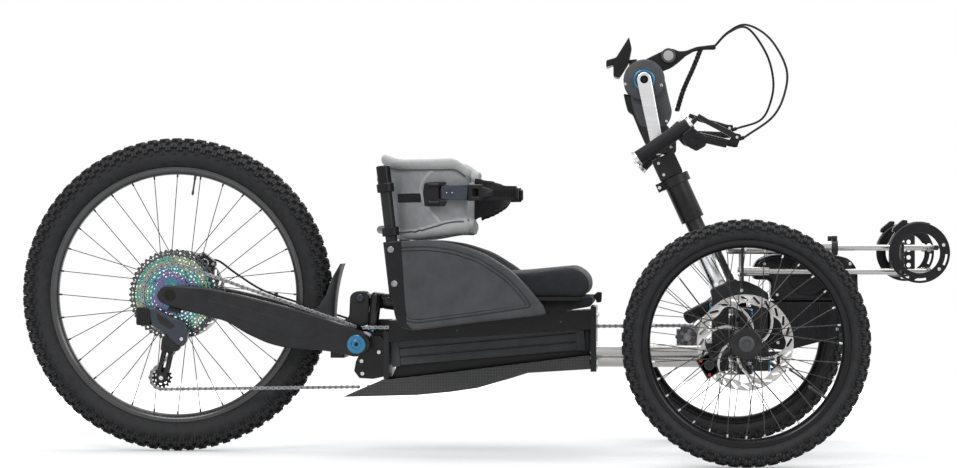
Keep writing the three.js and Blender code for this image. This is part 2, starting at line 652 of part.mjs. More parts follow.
const towerBolt = crossBar(topX, topZ, shockBoltRadius, -towerPlates.outer - overrun, towerPlates.outer + overrun);
const axleRodRear = crossBar(rearX, rearZ, rearAxleRod.radius, -armOuterY - gap, armOuterY + gap);
const bladeFront = blade.map(([x, z]) => [x + bladeThick, z]);
const mudguard = plate([...blade, ...bladeFront.reverse()], -bladeHalf, bladeHalf);
const rearCaliper = caliperGeometry(caliperAngle.rear, rotorAt.rear + rotor.thick / 2, rotor.radius + gap * 2);
rearCaliper.translate(rearX, 0, rearZ);
const caliperFoot = bar(caliperStay.from, caliperStay.to, caliperStay.radius, thinSides);
piece(machine, 'swingarm', join(arm(-1), arm(1), bridgeBlock, ...towers, towerBolt, axleRodRear, mudguard,
  rearCaliper, caliperFoot), paintBlack());
const caps = [-1, 1].map((side) => crossBar(pivotX, pivotZ, pivotAxle.cap, side * pivotAxle.half,
  side * (pivotAxle.half + pivotAxle.capThick), fineSides));
const pivotRod = crossBar(pivotX, pivotZ, pivotAxle.radius, -pivotAxle.half - gap, pivotAxle.half + gap, midSides);
piece(machine, 'pivot_axle', join(pivotRod, ...caps), blueAlloy());

// Derailleur: outer body beside the dropout, knuckle under it, cage with two toothed pulleys
function acrossPlate(points, y, thick, holes = []) {
  return plate(points, y - thick / 2, y + thick / 2, holes);
}
const bodyY = derailleurY - derailleurThick / 2 - gap;
const bodyPlate = acrossPlate(derailleurBody, bodyY, derailleurThick);

// Derailleur knuckle and cage
const knuckleY = chainY - cageHalf - cageThick - gap - gap;
const knuckleBlock = plate(knuckleOutline, knuckleY, knuckleY - knuckleThick);
const hangerLug = plate(hanger.outline, hanger.back, hanger.front);
piece(machine, 'derailleur_body', join(bodyPlate, knuckleBlock, hangerLug), plasticBlack());
const [cageX, cageZ] = cagePivot;
const [lowX, lowZ] = lowerJockeyAt;
function cageOutline(width) {
  const way = new THREE.Vector2(lowX - cageX, lowZ - cageZ).normalize();
  const top = [];
  const foot = [];
  for (const turn of [-90, -30, 30, 90]) {
    const aside = way.clone().rotateAround(new THREE.Vector2(), radians(turn)).multiplyScalar(width / 2);
    foot.push([lowX + aside.x, lowZ + aside.y]);
    top.push([cageX - aside.x, cageZ - aside.y]);
  }
  return [...foot, ...top];
}
const cagePlates = [-1, 1].map((side) => {
  const inner = chainY + side * cageHalf;
  return plate(cageOutline(cageWidth), inner, inner + side * cageThick);
});
const jockeyPins = [cagePivot, lowerJockeyAt].map(([x, z]) =>
  crossBar(x, z, jockey.bore, chainY - cageHalf - cageThick / 2, chainY + cageHalf + cageThick / 2));
piece(machine, 'derailleur_cage', join(...cagePlates, ...jockeyPins), plasticBlack());
function jockeyGeometry(radius) {
  const disc = plate(toothedOutline([0, 0], radius, jockey.teeth, jockey.tooth), -jockey.thick / 2, jockey.thick / 2);
  return cut(disc, crossBar(0, 0, boreFor(jockey.bore), -jockey.thick, jockey.thick));
}
piece(groupAt(machine, cageX, chainY, cageZ), 'upper_jockey', jockeyGeometry(jockey.upper), plasticBlack());
piece(groupAt(machine, lowX, chainY, lowZ), 'lower_jockey', jockeyGeometry(jockey.lower), plasticBlack());

// Points on a circle from one angle to another, in degrees
function arcPoints([x, z], radius, from, to) {
  const count = Math.max(2, Math.ceil(Math.abs(to - from) / arcStepDegrees));
  return Array.from({ length: count + 1 }, (_, i) => {
    const turn = radians(from + ((to - from) * i) / count);
    return [x + radius * Math.cos(turn), z + radius * Math.sin(turn)];
  });
}

// Angle at which a chain leaves one circle to pass to the other side of the next one
function crossingAngle([ax, az], ra, [bx, bz], rb, side) {
  const way = Math.atan2(bz - az, bx - ax);
  const turn = Math.acos((ra + rb) / Math.hypot(bx - ax, bz - az));
  return THREE.MathUtils.radToDeg(way + side * turn);
}

// Angle of the tangent from a point to a circle
function tangentAngle([px, pz], [cx, cz], radius, side) {
  const way = Math.atan2(pz - cz, px - cx);
  return THREE.MathUtils.radToDeg(way + side * Math.acos(radius / Math.hypot(px - cx, pz - cz)));
}

// Chain along a path: side plates as lobes at every other station, waists between them
function chainGeometry(path) {
  const even = [];
  for (let i = 0; i + 1 < path.length; i += 1) {
    const from = new THREE.Vector2(...path[i]);
    const way = new THREE.Vector2(...path[i + 1]).sub(from);
    const parts = Math.max(1, Math.round(way.length() / chainPitch));
    for (let part = 0; part < parts; part += 1) {
      even.push([from.x + (way.x * part) / parts, from.y + (way.y * part) / parts]);
    }
  }
  even.push(path[path.length - 1]);
  const rings = even.map(([x, z], i) => {
    const [px, pz] = even[Math.max(0, i - 1)];
    const [nx, nz] = even[Math.min(even.length - 1, i + 1)];
    const across = new THREE.Vector2(nx - px, nz - pz).normalize().multiplyScalar(i % 2 ? chainPlate : chainWaist);
    return [
      [x + across.y, chainY - chainHalf, z - across.x],
      [x + across.y, chainY + chainHalf, z - across.x],
      [x - across.y, chainY + chainHalf, z + across.x],
      [x - across.y, chainY - chainHalf, z + across.x],
    ];
  });
  return loft(rings);
}
const wrapOf = (radius) => (radius + chainSeat + chainPlate) / Math.cos(radians(arcStepDegrees / 2));
const cogWrap = wrapOf(chainSprocket);
const upWrap = wrapOf(jockey.upper);
const lowWrap = wrapOf(jockey.lower);
const topAngle = tangentAngle(upperRunEnd, rearAxle, cogWrap, 1);
const leaveCog = crossingAngle(rearAxle, cogWrap, cagePivot, upWrap, -1) + 360;
const meetUp = leaveCog - 180;
const leaveUp = crossingAngle(cagePivot, upWrap, lowerJockeyAt, lowWrap, 1);
const leaveLow = tangentAngle(lowerRunEnd, lowerJockeyAt, lowWrap, -1) + 360;
const rearPath = [
  upperRunEnd,
  ...arcPoints(rearAxle, cogWrap, topAngle, leaveCog),
  ...arcPoints(cagePivot, upWrap, meetUp, leaveUp),
  ...arcPoints(lowerJockeyAt, lowWrap, leaveUp + 180, leaveLow),
  lowerRunEnd,
];
piece(machine, 'rear_chain', chainGeometry(rearPath), steel());
const driveWrap = wrapOf(driveSprocket.radius);
const [driveX, driveZ] = driveSprocket.at;
const frontPath = [
  frontRunStart,
  ...frontRunTurns,
  ...arcPoints(driveSprocket.at, driveWrap, tangentAngle(frontRunTurns[3], driveSprocket.at, driveWrap, 1),
    tangentAngle(frontRunEnd, driveSprocket.at, driveWrap, -1)),
  frontRunEnd,
];
piece(machine, 'front_chain', chainGeometry(frontPath), steel());

// Sprocket that drives the chain, on a stub of the chain guide
const driveDisc = cut(
  plate(toothedOutline([0, 0], driveSprocket.radius, driveSprocket.teeth, toothDepth), -driveSprocket.thick / 2,
    driveSprocket.thick / 2),
  crossBar(0, 0, boreFor(driveSprocket.bore), -driveSprocket.thick, driveSprocket.thick));
piece(groupAt(machine, driveX, chainY, driveZ), 'drive_sprocket', driveDisc, steel());

// Shock absorber: body with its own reservoir hung from the rear eye, shaft from the front eye
const [noseX, noseZ] = shockFront;
const shockWay = new THREE.Vector2(noseX - topX, noseZ - topZ);
const shockLength = shockWay.length();
const shockTilt = -Math.atan2(shockWay.y, shockWay.x);
const shock = groupAt(machine, topX, 0, topZ);
shock.rotation.y = shockTilt;
const eyeBore = crossBar(0, 0, boreFor(shockBoltRadius), -pivotBoss.half, pivotBoss.half);
const rearEye = crossBar(0, 0, shockBody.eye, -shockEyeHalf, shockEyeHalf, midSides);
const canStart = shockBody.start;
const canEnd = canStart + shockBody.length;
const can = bar([shockBody.eye / 2, 0, 0], [canEnd, 0, 0], shockBody.radius, midSides);
const canNeck = bar([0, 0, 0], [canStart + overrun, 0, 0], shockBody.eye, plainSides);
const canTrim = block(-shockBody.radius, canStart, shockEyeHalf, pivotBoss.half, -pivotBoss.half, pivotBoss.half);
const canTrimOther = block(-shockBody.radius, canStart, -shockEyeHalf, -pivotBoss.half, -pivotBoss.half,
  pivotBoss.half);
const canBore = bar([canStart + shockBody.eye, 0, 0], [canEnd + overrun, 0, 0], boreFor(shockShaft.radius) + gap);
const shockCan = shockBody;
const piggy = bar([shockCan.piggyX, shockCan.piggyY, -shockCan.piggyDrop - shockCan.piggyLength / 2],
  [shockCan.piggyX, shockCan.piggyY, -shockCan.piggyDrop + shockCan.piggyLength / 2], shockCan.piggyback, midSides);
const piggyNeck = crossBar(shockCan.piggyX, 0, shockCan.neck, shockCan.piggyY, -shockCan.radius / 2);
piece(shock, 'shock_body', join(cut(join(can, canNeck, rearEye), eyeBore, canTrim, canTrimOther, canBore), piggy,
  piggyNeck), paintBlack());
const noseEye = crossBar(shockLength, 0, shockShaft.eye, -shockEyeHalf, shockEyeHalf, midSides);
const shaftRod = bar([canEnd - shockBody.length / 2, 0, 0], [shockLength, 0, 0], shockShaft.radius, plainSides);
const shaftCollar = bar([shockLength - shockShaft.collar, 0, 0],
  [shockLength - shockShaft.collar + shockShaft.collarThick, 0, 0], shockBody.radius, midSides);
const noseBore = crossBar(shockLength, 0, boreFor(shockBoltRadius) + gap, -pivotBoss.half, pivotBoss.half);
piece(shock, 'shock_shaft', cut(join(noseEye, shaftRod, shaftCollar), noseBore), steel());

// Rear casting: boss round the pivot axle, block down to the tube, gusset up to the seat beam
const boss = crossBar(pivotX, pivotZ, pivotBoss.radius, -pivotBoss.half, pivotBoss.half, fineSides);
const castBlock = plate(castingOutline, -castingHalf, castingHalf);
const castStub = bar([stub.from, 0, stub.z], [stub.to, 0, stub.z], stub.radius, fineSides);
const gusset = plate(gussetOutline, -towerPlates.inner, towerPlates.inner);
const bossHole = crossBar(pivotX, pivotZ, pivotAxle.radius + gap, -pivotBoss.half - overrun, pivotBoss.half + overrun,
  midSides);
const rb = rearBracket;
const bracketPlate = block(rb.back, rb.front, -rb.half, rb.half, rb.low, rb.high);
piece(machine, 'rear_casting', cut(join(boss, castBlock, castStub, gusset, bracketPlate), bossHole), paintBlack());

// Seat beam over the battery and the bracket in front of it
const beamSkin = plate(beamOutline, -beamHalf, beamHalf);
const [lowBack, lowFront, topFront, topBend, topBack] = beamOutline;
const roomOutline = [[lowBack[0] - overrun, lowBack[1] - beamHalf], [lowFront[0] + overrun, lowFront[1] - beamHalf],
  [topFront[0] + overrun, topFront[1] - beamWall], [topBend[0], topBend[1] - beamWall],
  [topBack[0] - overrun, topBack[1] - beamWall]];
const beamRoom = plate(roomOutline, -beamHalf + beamWall, beamHalf - beamWall);
const lugX = noseX;
const lugs = [-1, 1].map((side) => block(lugX - shockShaft.eye, lugX + shockShaft.eye, side * towerPlates.inner,
  side * towerPlates.outer, beamOutline[3][1] - beamWall - beamWall, noseZ + shockShaft.eye));
const lugBolt = crossBar(noseX, noseZ, shockBoltRadius, -towerPlates.outer - overrun, towerPlates.outer + overrun);
const beamShell = cut(beamSkin, beamRoom);
const fb = frontBracket;
const windows = [bracketWindow.lowRun, bracketWindow.highRun].map(([low, high]) =>
  block(fb.back - overrun, fb.front + overrun, bracketWindow.inner, bracketWindow.outer, low, high));
const bracketBody = cut(block(fb.back - gap * 2, fb.front, -fb.half, fb.half, fb.low, fb.high), ...windows);
piece(machine, 'seat_beam', join(beamShell, ...lugs, lugBolt, bracketBody), paintBlack());

// Battery: extruded case with grooves, a cap at each end, tilted with the beam
const [batX, batZ] = batteryStart;
const batteryWay = new THREE.Vector2(batteryEnd[0] - batX, batteryEnd[1] - batZ);
const battery = groupAt(machine, batX, 0, batZ);
battery.rotation.y = -Math.atan2(batteryWay.y, batteryWay.x);
const bp = batteryPack;
const batteryLength = batteryWay.length() - bp.capLength / 2;
const batteryCase = block(bp.capLength - overrun, batteryLength - bp.capLength + overrun, -bp.half, bp.half, -bp.height / 2, bp.height / 2);
const batteryCaps = [[gap + bp.groove, bp.capLength], [batteryLength - bp.capLength, batteryLength - bp.groove]]
  .map(([from, to]) => block(from, to, -bp.capHalf, bp.capHalf, -bp.cap / 2, bp.cap / 2));
const grooves = [-1, 1].flatMap((side) => [-1, 1].map((level) => block(-overrun, batteryLength + overrun,
  side * (bp.half - bp.groove), side * (bp.capHalf + overrun), level * bp.grooveAt - bp.groove / 2,
  level * bp.grooveAt + bp.groove / 2)));
piece(battery, 'battery', join(cut(batteryCase, ...grooves), ...batteryCaps), plasticBlack());

// Belly pan: open trough under the battery
const panSkin = plate(panOutline, -panHalf, panHalf);
const panRoom = plate(panOutline, -panHalf + panWall, panHalf - panWall).translate(0, 0, panWall);
const panSlice = panRoom.clone().translate(0, 0, panDeep);
piece(machine, 'belly_pan', cut(panSkin, panRoom, panSlice), plasticBlack());

// Tubes from the bracket to the front block
const cp = crossPlate;
const tubes = [-1, 1].map((side) => bar([rail.from, side * rail.y, rail.z], [cp.back + overrun, side * rail.y, rail.z],
  rail.radius, midSides));
tubes.push(bar([backbone.from, 0, backbone.z], [cp.back + overrun, 0, backbone.z], backbone.radius, fineSides));
piece(machine, 'frame_tubes', join(...tubes, block(cp.back, cp.front, -cp.half, cp.half, cp.low, cp.high)), polished());
const guideBar = chainGuide;
const guidePlate = block(guideBar.back, guideBar.front, guideBar.inner, guideBar.outer, guideBar.low, guideBar.high);
const guideStub = crossBar(driveX, driveZ, guideBar.stubRadius, guideBar.outer + overrun, guideBar.stubEnd - gap);

// Front block: two legs joined at the top, with both pivot pins, the chain guide and the damper on it
const blockBody = plate(blockOutline, -blockHalf, blockHalf);
const pins = [beamLevels.lower, beamLevels.upper];
const pivotPins = pins.map((z) => bar([cp.front + overrun * 2, 0, z], [leanPin.to, 0, z], leanPin.radius));
const damperBody = bar(damper.from, damper.to, damper.radius, midSides);
piece(machine, 'front_block', join(blockBody, ...pivotPins, damperBody), paintBlack());
piece(machine, 'chain_guide', join(guidePlate, guideStub), greyPlastic());

// Cross beam: flat bar with a boss on the pivot pin and a fork at each end
function beamGeometry(z) {
  const depth = beam.depth / 2;
  const bars = block(beam.x - depth, beam.x + depth, -beam.end, beam.end, z - beam.half, z + beam.half);
  const hub = bar([beam.x - depth, 0, z], [beam.x + depth, 0, z], beam.boss, midSides);
  const tools = [bar([beam.x - beam.depth, 0, z], [beam.x + beam.depth, 0, z], boreFor(leanPin.radius))];
  for (const side of [-1, 1]) {
    tools.push(block(beam.x - beam.slot / 2, beam.x + beam.slot / 2, side * beam.fork, side * (beam.end + overrun),
      z - beam.boss, z + beam.boss));
    tools.push(bar([beam.x - beam.depth, side * pivotY, z], [beam.x + beam.depth, side * pivotY, z],
      boreFor(upright.pin, thinSides), thinSides));
  }
  return cut(join(bars, hub), ...tools);
}
piece(machine, 'lower_beam', beamGeometry(beamLevels.lower), paintBlack());
piece(machine, 'upper_beam', beamGeometry(beamLevels.upper), paintBlack());

// Tie rod with a slotted eye at each end
const steerX = beam.x + steerArm.reach;
const rodEnds = [-1, 1].map((side) => bar([steerX, side * pivotY, tieRod.z - tieRod.half],
  [steerX, side * pivotY, tieRod.z + tieRod.half], tieRod.eye + tieRod.slot, midSides));
const rodSlots = [-1, 1].map((side) => block(steerX - steerArm.ballPin - tieRod.slot,
  steerX + steerArm.ballPin + tieRod.slot, side * pivotY - steerArm.ballPin - tieRod.play,
  side * pivotY + steerArm.ballPin + tieRod.play, tieRod.z - tieRod.eye, tieRod.z + tieRod.eye));
const rodBar = bar([steerX, -pivotY, tieRod.z], [steerX, pivotY, tieRod.z], tieRod.half);
piece(machine, 'tie_rod', cut(join(rodBar, ...rodEnds), ...rodSlots), paintBlack());

// Upright, knuckle, wheel, tyre, rotor and caliper of one side
function frontSide(name, side) {
  const u = upright;
  const depth = u.depth / 2;
  const earTop = u.high;
  const earLow = u.low;
  const spine = block(beam.x - depth, beam.x + depth, side * u.spineInner, side * u.spineOuter, earLow,
    earTop);
  const ears = [[earLow, earLow + u.ear], [earTop - u.ear, earTop]].map(([from, to]) =>
    block(beam.x - depth, beam.x + depth, side * (u.spineOuter - overrun), side * u.earEnd, from, to));
  const tongues = [[beamLevels.lower - u.tongueEnd, earLow + overrun], [earTop - overrun,
    beamLevels.upper + u.tongueEnd]].map(([from, to]) => block(beam.x - u.tongue / 2, beam.x + u.tongue / 2,
    side * u.tongueInner, side * u.tongueOuter, from, to));
  const uprightPins = pins.map((z) => bar([beam.x - u.pinHalf, side * pivotY, z],
    [beam.x + u.pinHalf, side * pivotY, z], u.pin, thinSides));
  const kingHole = bar([beam.x, side * pivotY, earLow - gap * 2], [beam.x, side * pivotY, earTop + gap * 2],
    boreFor(kingPin.radius));
  piece(machine, `${name}_upright`, cut(join(spine, ...ears, ...tongues, ...uprightPins), kingHole), paintBlack());

  const kb = bar([beam.x, side * pivotY, kingPin.low], [beam.x, side * pivotY, kingPin.high], kingPin.body, midSides);
  const kp = bar([beam.x, side * pivotY, earLow + gap * 3], [beam.x, side * pivotY, earTop - gap * 3], kingPin.radius);
  const axleZ = frontAxle[1];
  const hubBoss = crossBar(beam.x, axleZ, stubAxle.boss, side * pivotY, side * stubBossEnd, midSides);
  const stubRod = crossBar(beam.x, axleZ, stubAxle.radius, side * pivotY, side * stubAxleEnd, midSides);
  const armBar = block(beam.x, steerX + steerArm.half, side * (pivotY - steerArm.half), side * (pivotY + steerArm.half),
    steerArm.low, steerArm.high);
  const ballPin = bar([steerX, side * pivotY, steerArm.ballLow], [steerX, side * pivotY, steerArm.high],
    steerArm.ballPin, thinSides);
  const caliperY = side * (halfTrack - rotorAt.front - rotor.thick / 2);
  const held = caliperGeometry(caliperAngle.front, caliperY, rotor.radius + gap * 2).translate(beam.x, 0, axleZ);
  const stay = bar([beam.x, side * (stubBossEnd - stubAxle.boss), axleZ], [beam.x + caliperReach[0],
    side * (stubBossEnd - gap * 3), axleZ + caliperReach[1]], steerArm.half, thinSides);
  piece(machine, `${name}_knuckle`, join(kb, kp, hubBoss, stubRod, armBar, ballPin, held, stay), paintBlack());

  const wheel = groupAt(machine, beam.x, side * halfTrack, axleZ);
  const h = frontHub;
  const inward = -side;
  const bore = crossBar(0, 0, boreFor(stubAxle.radius, midSides), inward * (h.inner + overrun * 3),
    side * (stubAxle.past + spinGap + gap), midSides);
  const bodyOf = wheelGeometry(frontRim, h, frontSpokes, inward * h.inner, side * h.outer, [bore]);
  const face = inward * (rotorAt.front + rotor.thick);
  const disc = rotorGeometry().translate(0, inward * rotorAt.front + (inward > 0 ? 0 : -rotor.thick), 0);
  const carrier = crossBar(0, 0, rotor.boss - overrun, inward * (h.inner - overrun), face, midSides);
  piece(wheel, `${name}_wheel`, join(bodyOf, cut(join(disc, carrier), bore)), paintBlack());
  piece(wheel, `${name}_tyre`, tyreGeometry(frontTyre), rubberBlack());
}
frontSide('right', -1);
frontSide('left', 1);

// Steering column on its raked axis: head tube, inner tube, sleeve, clamp collar and stem block
const [footX, footZ] = columnFoot;
const column = groupAt(machine, footX, 0, footZ);
column.rotation.y = radians(columnRake);
const upBar = (from, to, radius, sides = fineSides) => bar([0, 0, from], [0, 0, to], radius, sides);
const ht = headTube;
piece(column, 'head_tube', cut(upBar(ht.start, ht.end, ht.radius), upBar(-ht.end, ht.end + ht.end, ht.inner)),
  polished());
const ct = columnTube;
const cb = columnBearing;
const bearings = [ht.start + cb.inset, ht.end - cb.inset - cb.length].map((from) =>
  upBar(from, from + cb.length, cb.radius));
piece(column, 'steering_column', join(upBar(ct.start, ct.end, ct.radius), ...bearings), paintBlack());
const cc = clampCollar;
const collarEar = block(-cc.earReach, 0, -cc.earHalf, cc.earHalf, cc.start, cc.end);
const sb = stemBlock;
const stemBody = block(-sb.back, sb.front, -sb.half, sb.half, cc.end - overrun, sb.end);
const stemBore = upBar(-sb.end, ct.end + gap * 2, boreFor(ct.radius, fineSides));
piece(column, 'column_sleeve', cut(join(upBar(sleeve.start, sleeve.end + overrun, sleeve.radius),
  upBar(cc.start, cc.end, cc.radius, midSides), collarEar, stemBody), stemBore), paintBlack());

// Crank head: casing on the stem, pod behind it, gear housing disc on the right
const [crankX, crankZ] = crankAxis;
const casingBody = plate(casing, -casingHalf, casingHalf);
const podBody = plate(rearPod, -rearPodHalf, rearPodHalf);
const gd = gearDisc;
const discs = [-1, 1].map((side) => crossBar(crankX, crankZ, gd.radius, side * (gd.start - gap * 2), side * gd.end,
  fineSides));
const recesses = [-1].map((side) => ringAcross(crankX, crankZ, gd.boss, gd.recess, side * (gd.end - gd.recessDepth),
  side * (gd.end + overrun), fineSides));
const spindleHole = crossBar(crankX, crankZ, boreFor(spindle.radius, midSides), -pivotBoss.half, pivotBoss.half, midSides);
const stemBlockWorld = block(-sb.back - gap, sb.front + gap, -sb.half - gap, sb.half + gap, cc.start - sb.end,
  sb.end + gap);
stemBlockWorld.rotateY(radians(columnRake)).translate(columnFoot[0], 0, columnFoot[1]);
const boom = join(plate(boomOutline, -boomHalf, boomHalf),
  crossBar(...boomDisc.at, boomDisc.radius, -boomDisc.half, boomDisc.half, midSides));
piece(machine, 'crank_head', cut(join(casingBody, podBody, boom, ...discs), ...recesses, spindleHole, stemBlockWorld),
  greyPlastic());

// Cranks on their spindle, both pointing down, a free handgrip on each pin
const crankTurn = radians(crank.lean);
const tipX = crankX + crank.length * Math.sin(crankTurn);
const tipZ = crankZ - crank.length * Math.cos(crankTurn);
const crankParts = [crossBar(crankX, crankZ, spindle.radius, -spindle.half, spindle.half, midSides)];
function armOutlinePoints() {
  const points = [];
  const way = Math.atan2(tipZ - crankZ, tipX - crankX);
  for (const share of [-90, -45, 0, 45, 90]) {
    const turn = way + radians(share);
    points.push([tipX + crank.tipRadius * Math.cos(turn), tipZ + crank.tipRadius * Math.sin(turn)]);
  }
  for (const share of [90, 135, 180, 225, 270]) {
    const turn = way + radians(share);
    points.push([crankX + crank.rootRadius * Math.cos(turn), crankZ + crank.rootRadius * Math.sin(turn)]);
  }
  return points;
}
const outlineOfCrank = armOutlinePoints();
function handSide(name, side) {
  const armBody = plate(outlineOfCrank, side * crank.inner, side * crank.outer);
  const pin = crossBar(tipX, tipZ, pedalPin.radius, side * (crank.outer - overrun), side * pedalPin.end, thinSides);
  crankParts.push(armBody, pin);

  const handle = groupAt(machine, tipX, side * grip.y, tipZ);
  handle.rotation.y = radians(-gripTilt[name]);
  const half = grip.length / 2;
  const tube = bar([-half, 0, 0], [half, 0, 0], grip.radius, midSides);
  const clamps = [-1, 1].map((end) => bar([end * half, 0, 0], [end * (half + grip.clampLength), 0, 0],
    grip.clampRadius, midSides));
  const hub = crossBar(0, 0, grip.hub, side * (grip.hubStart - grip.y), 0, midSides);
  const hubBore = crossBar(0, 0, boreFor(pedalPin.radius, thinSides), side * (grip.hubStart - grip.y - overrun),
    side * (pedalPin.end - grip.y + spinGap), thinSides);

  const mountStart = half + grip.clampLength - gap;
  const perchBody = block(mountStart, mountStart + perch.width, -perch.length / 2, perch.length / 2, -perch.length,
    grip.radius);
  const bb = brakeBody;
  const body = bar([bb.from[0], 0, bb.from[1]], [bb.to[0], 0, bb.to[1]], bb.radius, midSides);
  const cheeks = [-1, 1].map((end) => plate(cheek.outline, end * cheek.inner, end * cheek.outer));
  const [rootX, rootZ] = lever.root;
  const leverPin = crossBar(rootX, rootZ, lever.pin, -cheek.outer, cheek.outer, thinSides);
  piece(handle, `${name}_grip`, join(cut(join(tube, ...clamps, hub), hubBore), perchBody, body, ...cheeks, leverPin),
    rubberBlack());
  const way = new THREE.Vector2(lever.tip[0] - rootX, lever.tip[1] - rootZ);
  const leverAt = (along, out) => {
    const aside = new THREE.Vector2(-way.y, way.x).setLength(out);
    return [rootX + along * way.x + aside.x, rootZ + along * way.y + aside.y];
  };
  const leverEye = crossBar(rootX, rootZ, lever.rootHalf, -lever.thick / 2, lever.thick / 2, midSides);
  const leverBlade = plate([leverAt(0, -lever.rootHalf), leverAt(1, -lever.tipHalf), leverAt(1, lever.tipHalf),
    leverAt(0, lever.rootHalf)], -lever.thick / 2, lever.thick / 2);
  const leverHole = crossBar(rootX, rootZ, boreFor(lever.pin, thinSides), -lever.thick, lever.thick, thinSides);
  piece(handle, `${name}_brake_lever`, cut(join(leverBlade, leverEye), leverHole), plasticBlack());
}
handSide('right', -1);
handSide('left', 1);
piece(machine, 'crankset', join(...crankParts), polished());

// Display, cable bundle and the two hose loops
piece(machine, 'display', join(plate(displayOutline, -displayHalf, displayHalf),
  plate(displayArm, -boomHalf, boomHalf)), plasticBlack());
piece(machine, 'cable_bundle', hose(cableBundle.points, cableBundle.radius, thinSides, bundleSteps), rubberBlack());
piece(machine, 'right_hose_loop', hose(rightLoop, hoseRadius, thinSides, loopSteps), rubberBlack());
piece(machine, 'left_hose_loop', hose(leftLoop, hoseRadius, thinSides, loopSteps), rubberBlack());

// Drive unit behind the front axle's middle, with its cover
piece(machine, 'drive_unit', plate(motorOutline, -motorHalf, motorHalf), plasticBlack());
piece(machine, 'drive_cover', plate(coverOutline, -coverHalf, coverHalf), greyPlastic());

// Foot cradle: sockets on a plate, sliding rods with plates, rings and straps
const fs = footSocket;
const lengthwise = (from, to, side, z, radius, sides = midSides) =>
  bar([from, side * footRod.y, z], [to, side * footRod.y, z], radius, sides);
const sides = [-1, 1];
const socketBody = sides.flatMap((side) => [
  lengthwise(fs.from, fs.to, side, footRod.high, fs.radius),
  lengthwise(fs.to - fs.collarLength, fs.to, side, footRod.high, fs.collar),
  lengthwise(lowSocket.from, lowSocket.to, side, footRod.low, lowSocket.radius),
]);
const sp = socketPlate;
socketBody.push(block(sp.back, sp.front, -sp.half, sp.half, sp.low, sp.high));
const rodBores = sides.flatMap((side) => [footRod.high, footRod.low].map((z) =>
  lengthwise(fs.from - overrun, fs.to + overrun, side, z, footRod.radius + gap, plainSides)));
piece(machine, 'foot_sockets', cut(join(...socketBody), ...rodBores), polished());
const rods = sides.flatMap((side) => [footRod.high, footRod.low].map((z) =>
  lengthwise(footRod.from, footRod.to + toePlate.thick / 2, side, z, footRod.radius, plainSides)));
const fp = footPlate;
const tp = toePlate;
const hp = heelPlate;
const heelHoles = Array.from({ length: hp.columns * hp.rows }, (_, i) => {
  const x = hp.from + ((hp.to - hp.from) * ((i % hp.columns) + 1)) / (hp.columns + 1);
  const z = hp.low + ((hp.high - hp.low) * (Math.floor(i / hp.columns) + 1)) / (hp.rows + 1);
  return circlePoints([x, z], hp.hole, spokeSides + 1);
});
const heelBody = plate([[hp.from, hp.low], [hp.to, hp.low], [hp.to, hp.high], [hp.from, hp.high]], -hp.half, hp.half,
  heelHoles);
piece(machine, 'foot_carriage', join(...rods, block(fp.x, fp.x + fp.thick, -fp.half, fp.half, fp.low, fp.high),
  block(tp.x, tp.x + tp.thick, -tp.half, tp.half, tp.low, tp.high), heelBody), polished());
const fr = footRing;
function ringWithSlots(side) {
  const outline = circlePoints(fr.at, fr.radius, fineSides);
  const inside = circlePoints(fr.at, fr.inner, fineSides);
  const slots = [-1, 0, 1].map((place) => {
    const mid = radians(place * fr.slotStep);
    const middle = (fr.radius + fr.inner) / 2;
    const reach = radians(fr.slotReach);
    return [[middle - fr.slotWidth / 2, -1], [middle + fr.slotWidth / 2, -1], [middle + fr.slotWidth / 2, 1],
      [middle - fr.slotWidth / 2, 1]].map(([r, end]) => [fr.at[0] + r * Math.cos(mid + end * reach),
      fr.at[1] + r * Math.sin(mid + end * reach)]);
  });
  return plate(outline, side * fr.start, side * fr.end, [inside, ...slots]);
}
for (const [name, side] of [['right', -1], ['left', 1]]) {
  const st = footStrap;
  const outerArc = arcPoints(fr.at, st.outer, st.from, st.to).filter((_, i) => i % 2 === 0);
  const innerArc = arcPoints(fr.at, st.inner, st.from, st.to).filter((_, i) => i % 2 === 0).reverse();
  const band = plate([...outerArc, ...innerArc], side * st.start, side * st.end);
  piece(machine, `${name}_foot_ring`, join(ringWithSlots(side), band), plasticBlack());
}

// Seat: moulded guards open on the inside, pan between them, cushion
for (const [name, side] of [['right', -1], ['left', 1]]) {
  const g = guard;
  const skin = plate(guardOutline, side * g.outer, side * g.inner);
  const room = plate(inset(guardOutline, g.wall), side * (g.outer - g.wall), side * (g.inner - overrun));
  const relief = cut(plate(guardRelief, side * (g.outer - g.groove), side * (g.outer + overrun)),
    plate(inset(guardRelief, g.grooveWidth), side * (g.outer - g.groove - overrun), side * (g.outer + g.wall)));
  piece(machine, `${name}_side_guard`, cut(skin, room, relief), plasticBlack());
}
const panBody = block(pan.back, pan.front, -pan.half, pan.half, pan.low, pan.high);
const wings = block(pan.wingBack, pan.wingFront, -pan.wingHalf, pan.wingHalf, pan.low, pan.high);
const ribs = panRibs.map((r) => block(r.x - panRib.half, r.x + panRib.half, -panRib.wide, panRib.wide, r.low,
  pan.low + overrun));
const notch = block(panNotch.from, panNotch.to, -panNotch.half, panNotch.half, pan.low - panNotchDrop, pan.high + overrun);
const postLine = (z) => post.low[0] + ((z - post.low[1]) * (post.high[0] - post.low[0])) / (post.high[1] - post.low[1]);
const along = (side, z) => [postLine(z), side * post.y, z];
const sockets = sides.map((side) => bar(along(side, pan.low), along(side, post.socketEnd), post.socket, midSides));
const socketRooms = sides.map((side) => bar(along(side, post.low[1]), along(side, post.high[1]),
  post.radius + gap + gap, midSides));
piece(machine, 'seat_pan', cut(join(panBody, wings, ...ribs, ...sockets), notch, ...socketRooms), plasticBlack());
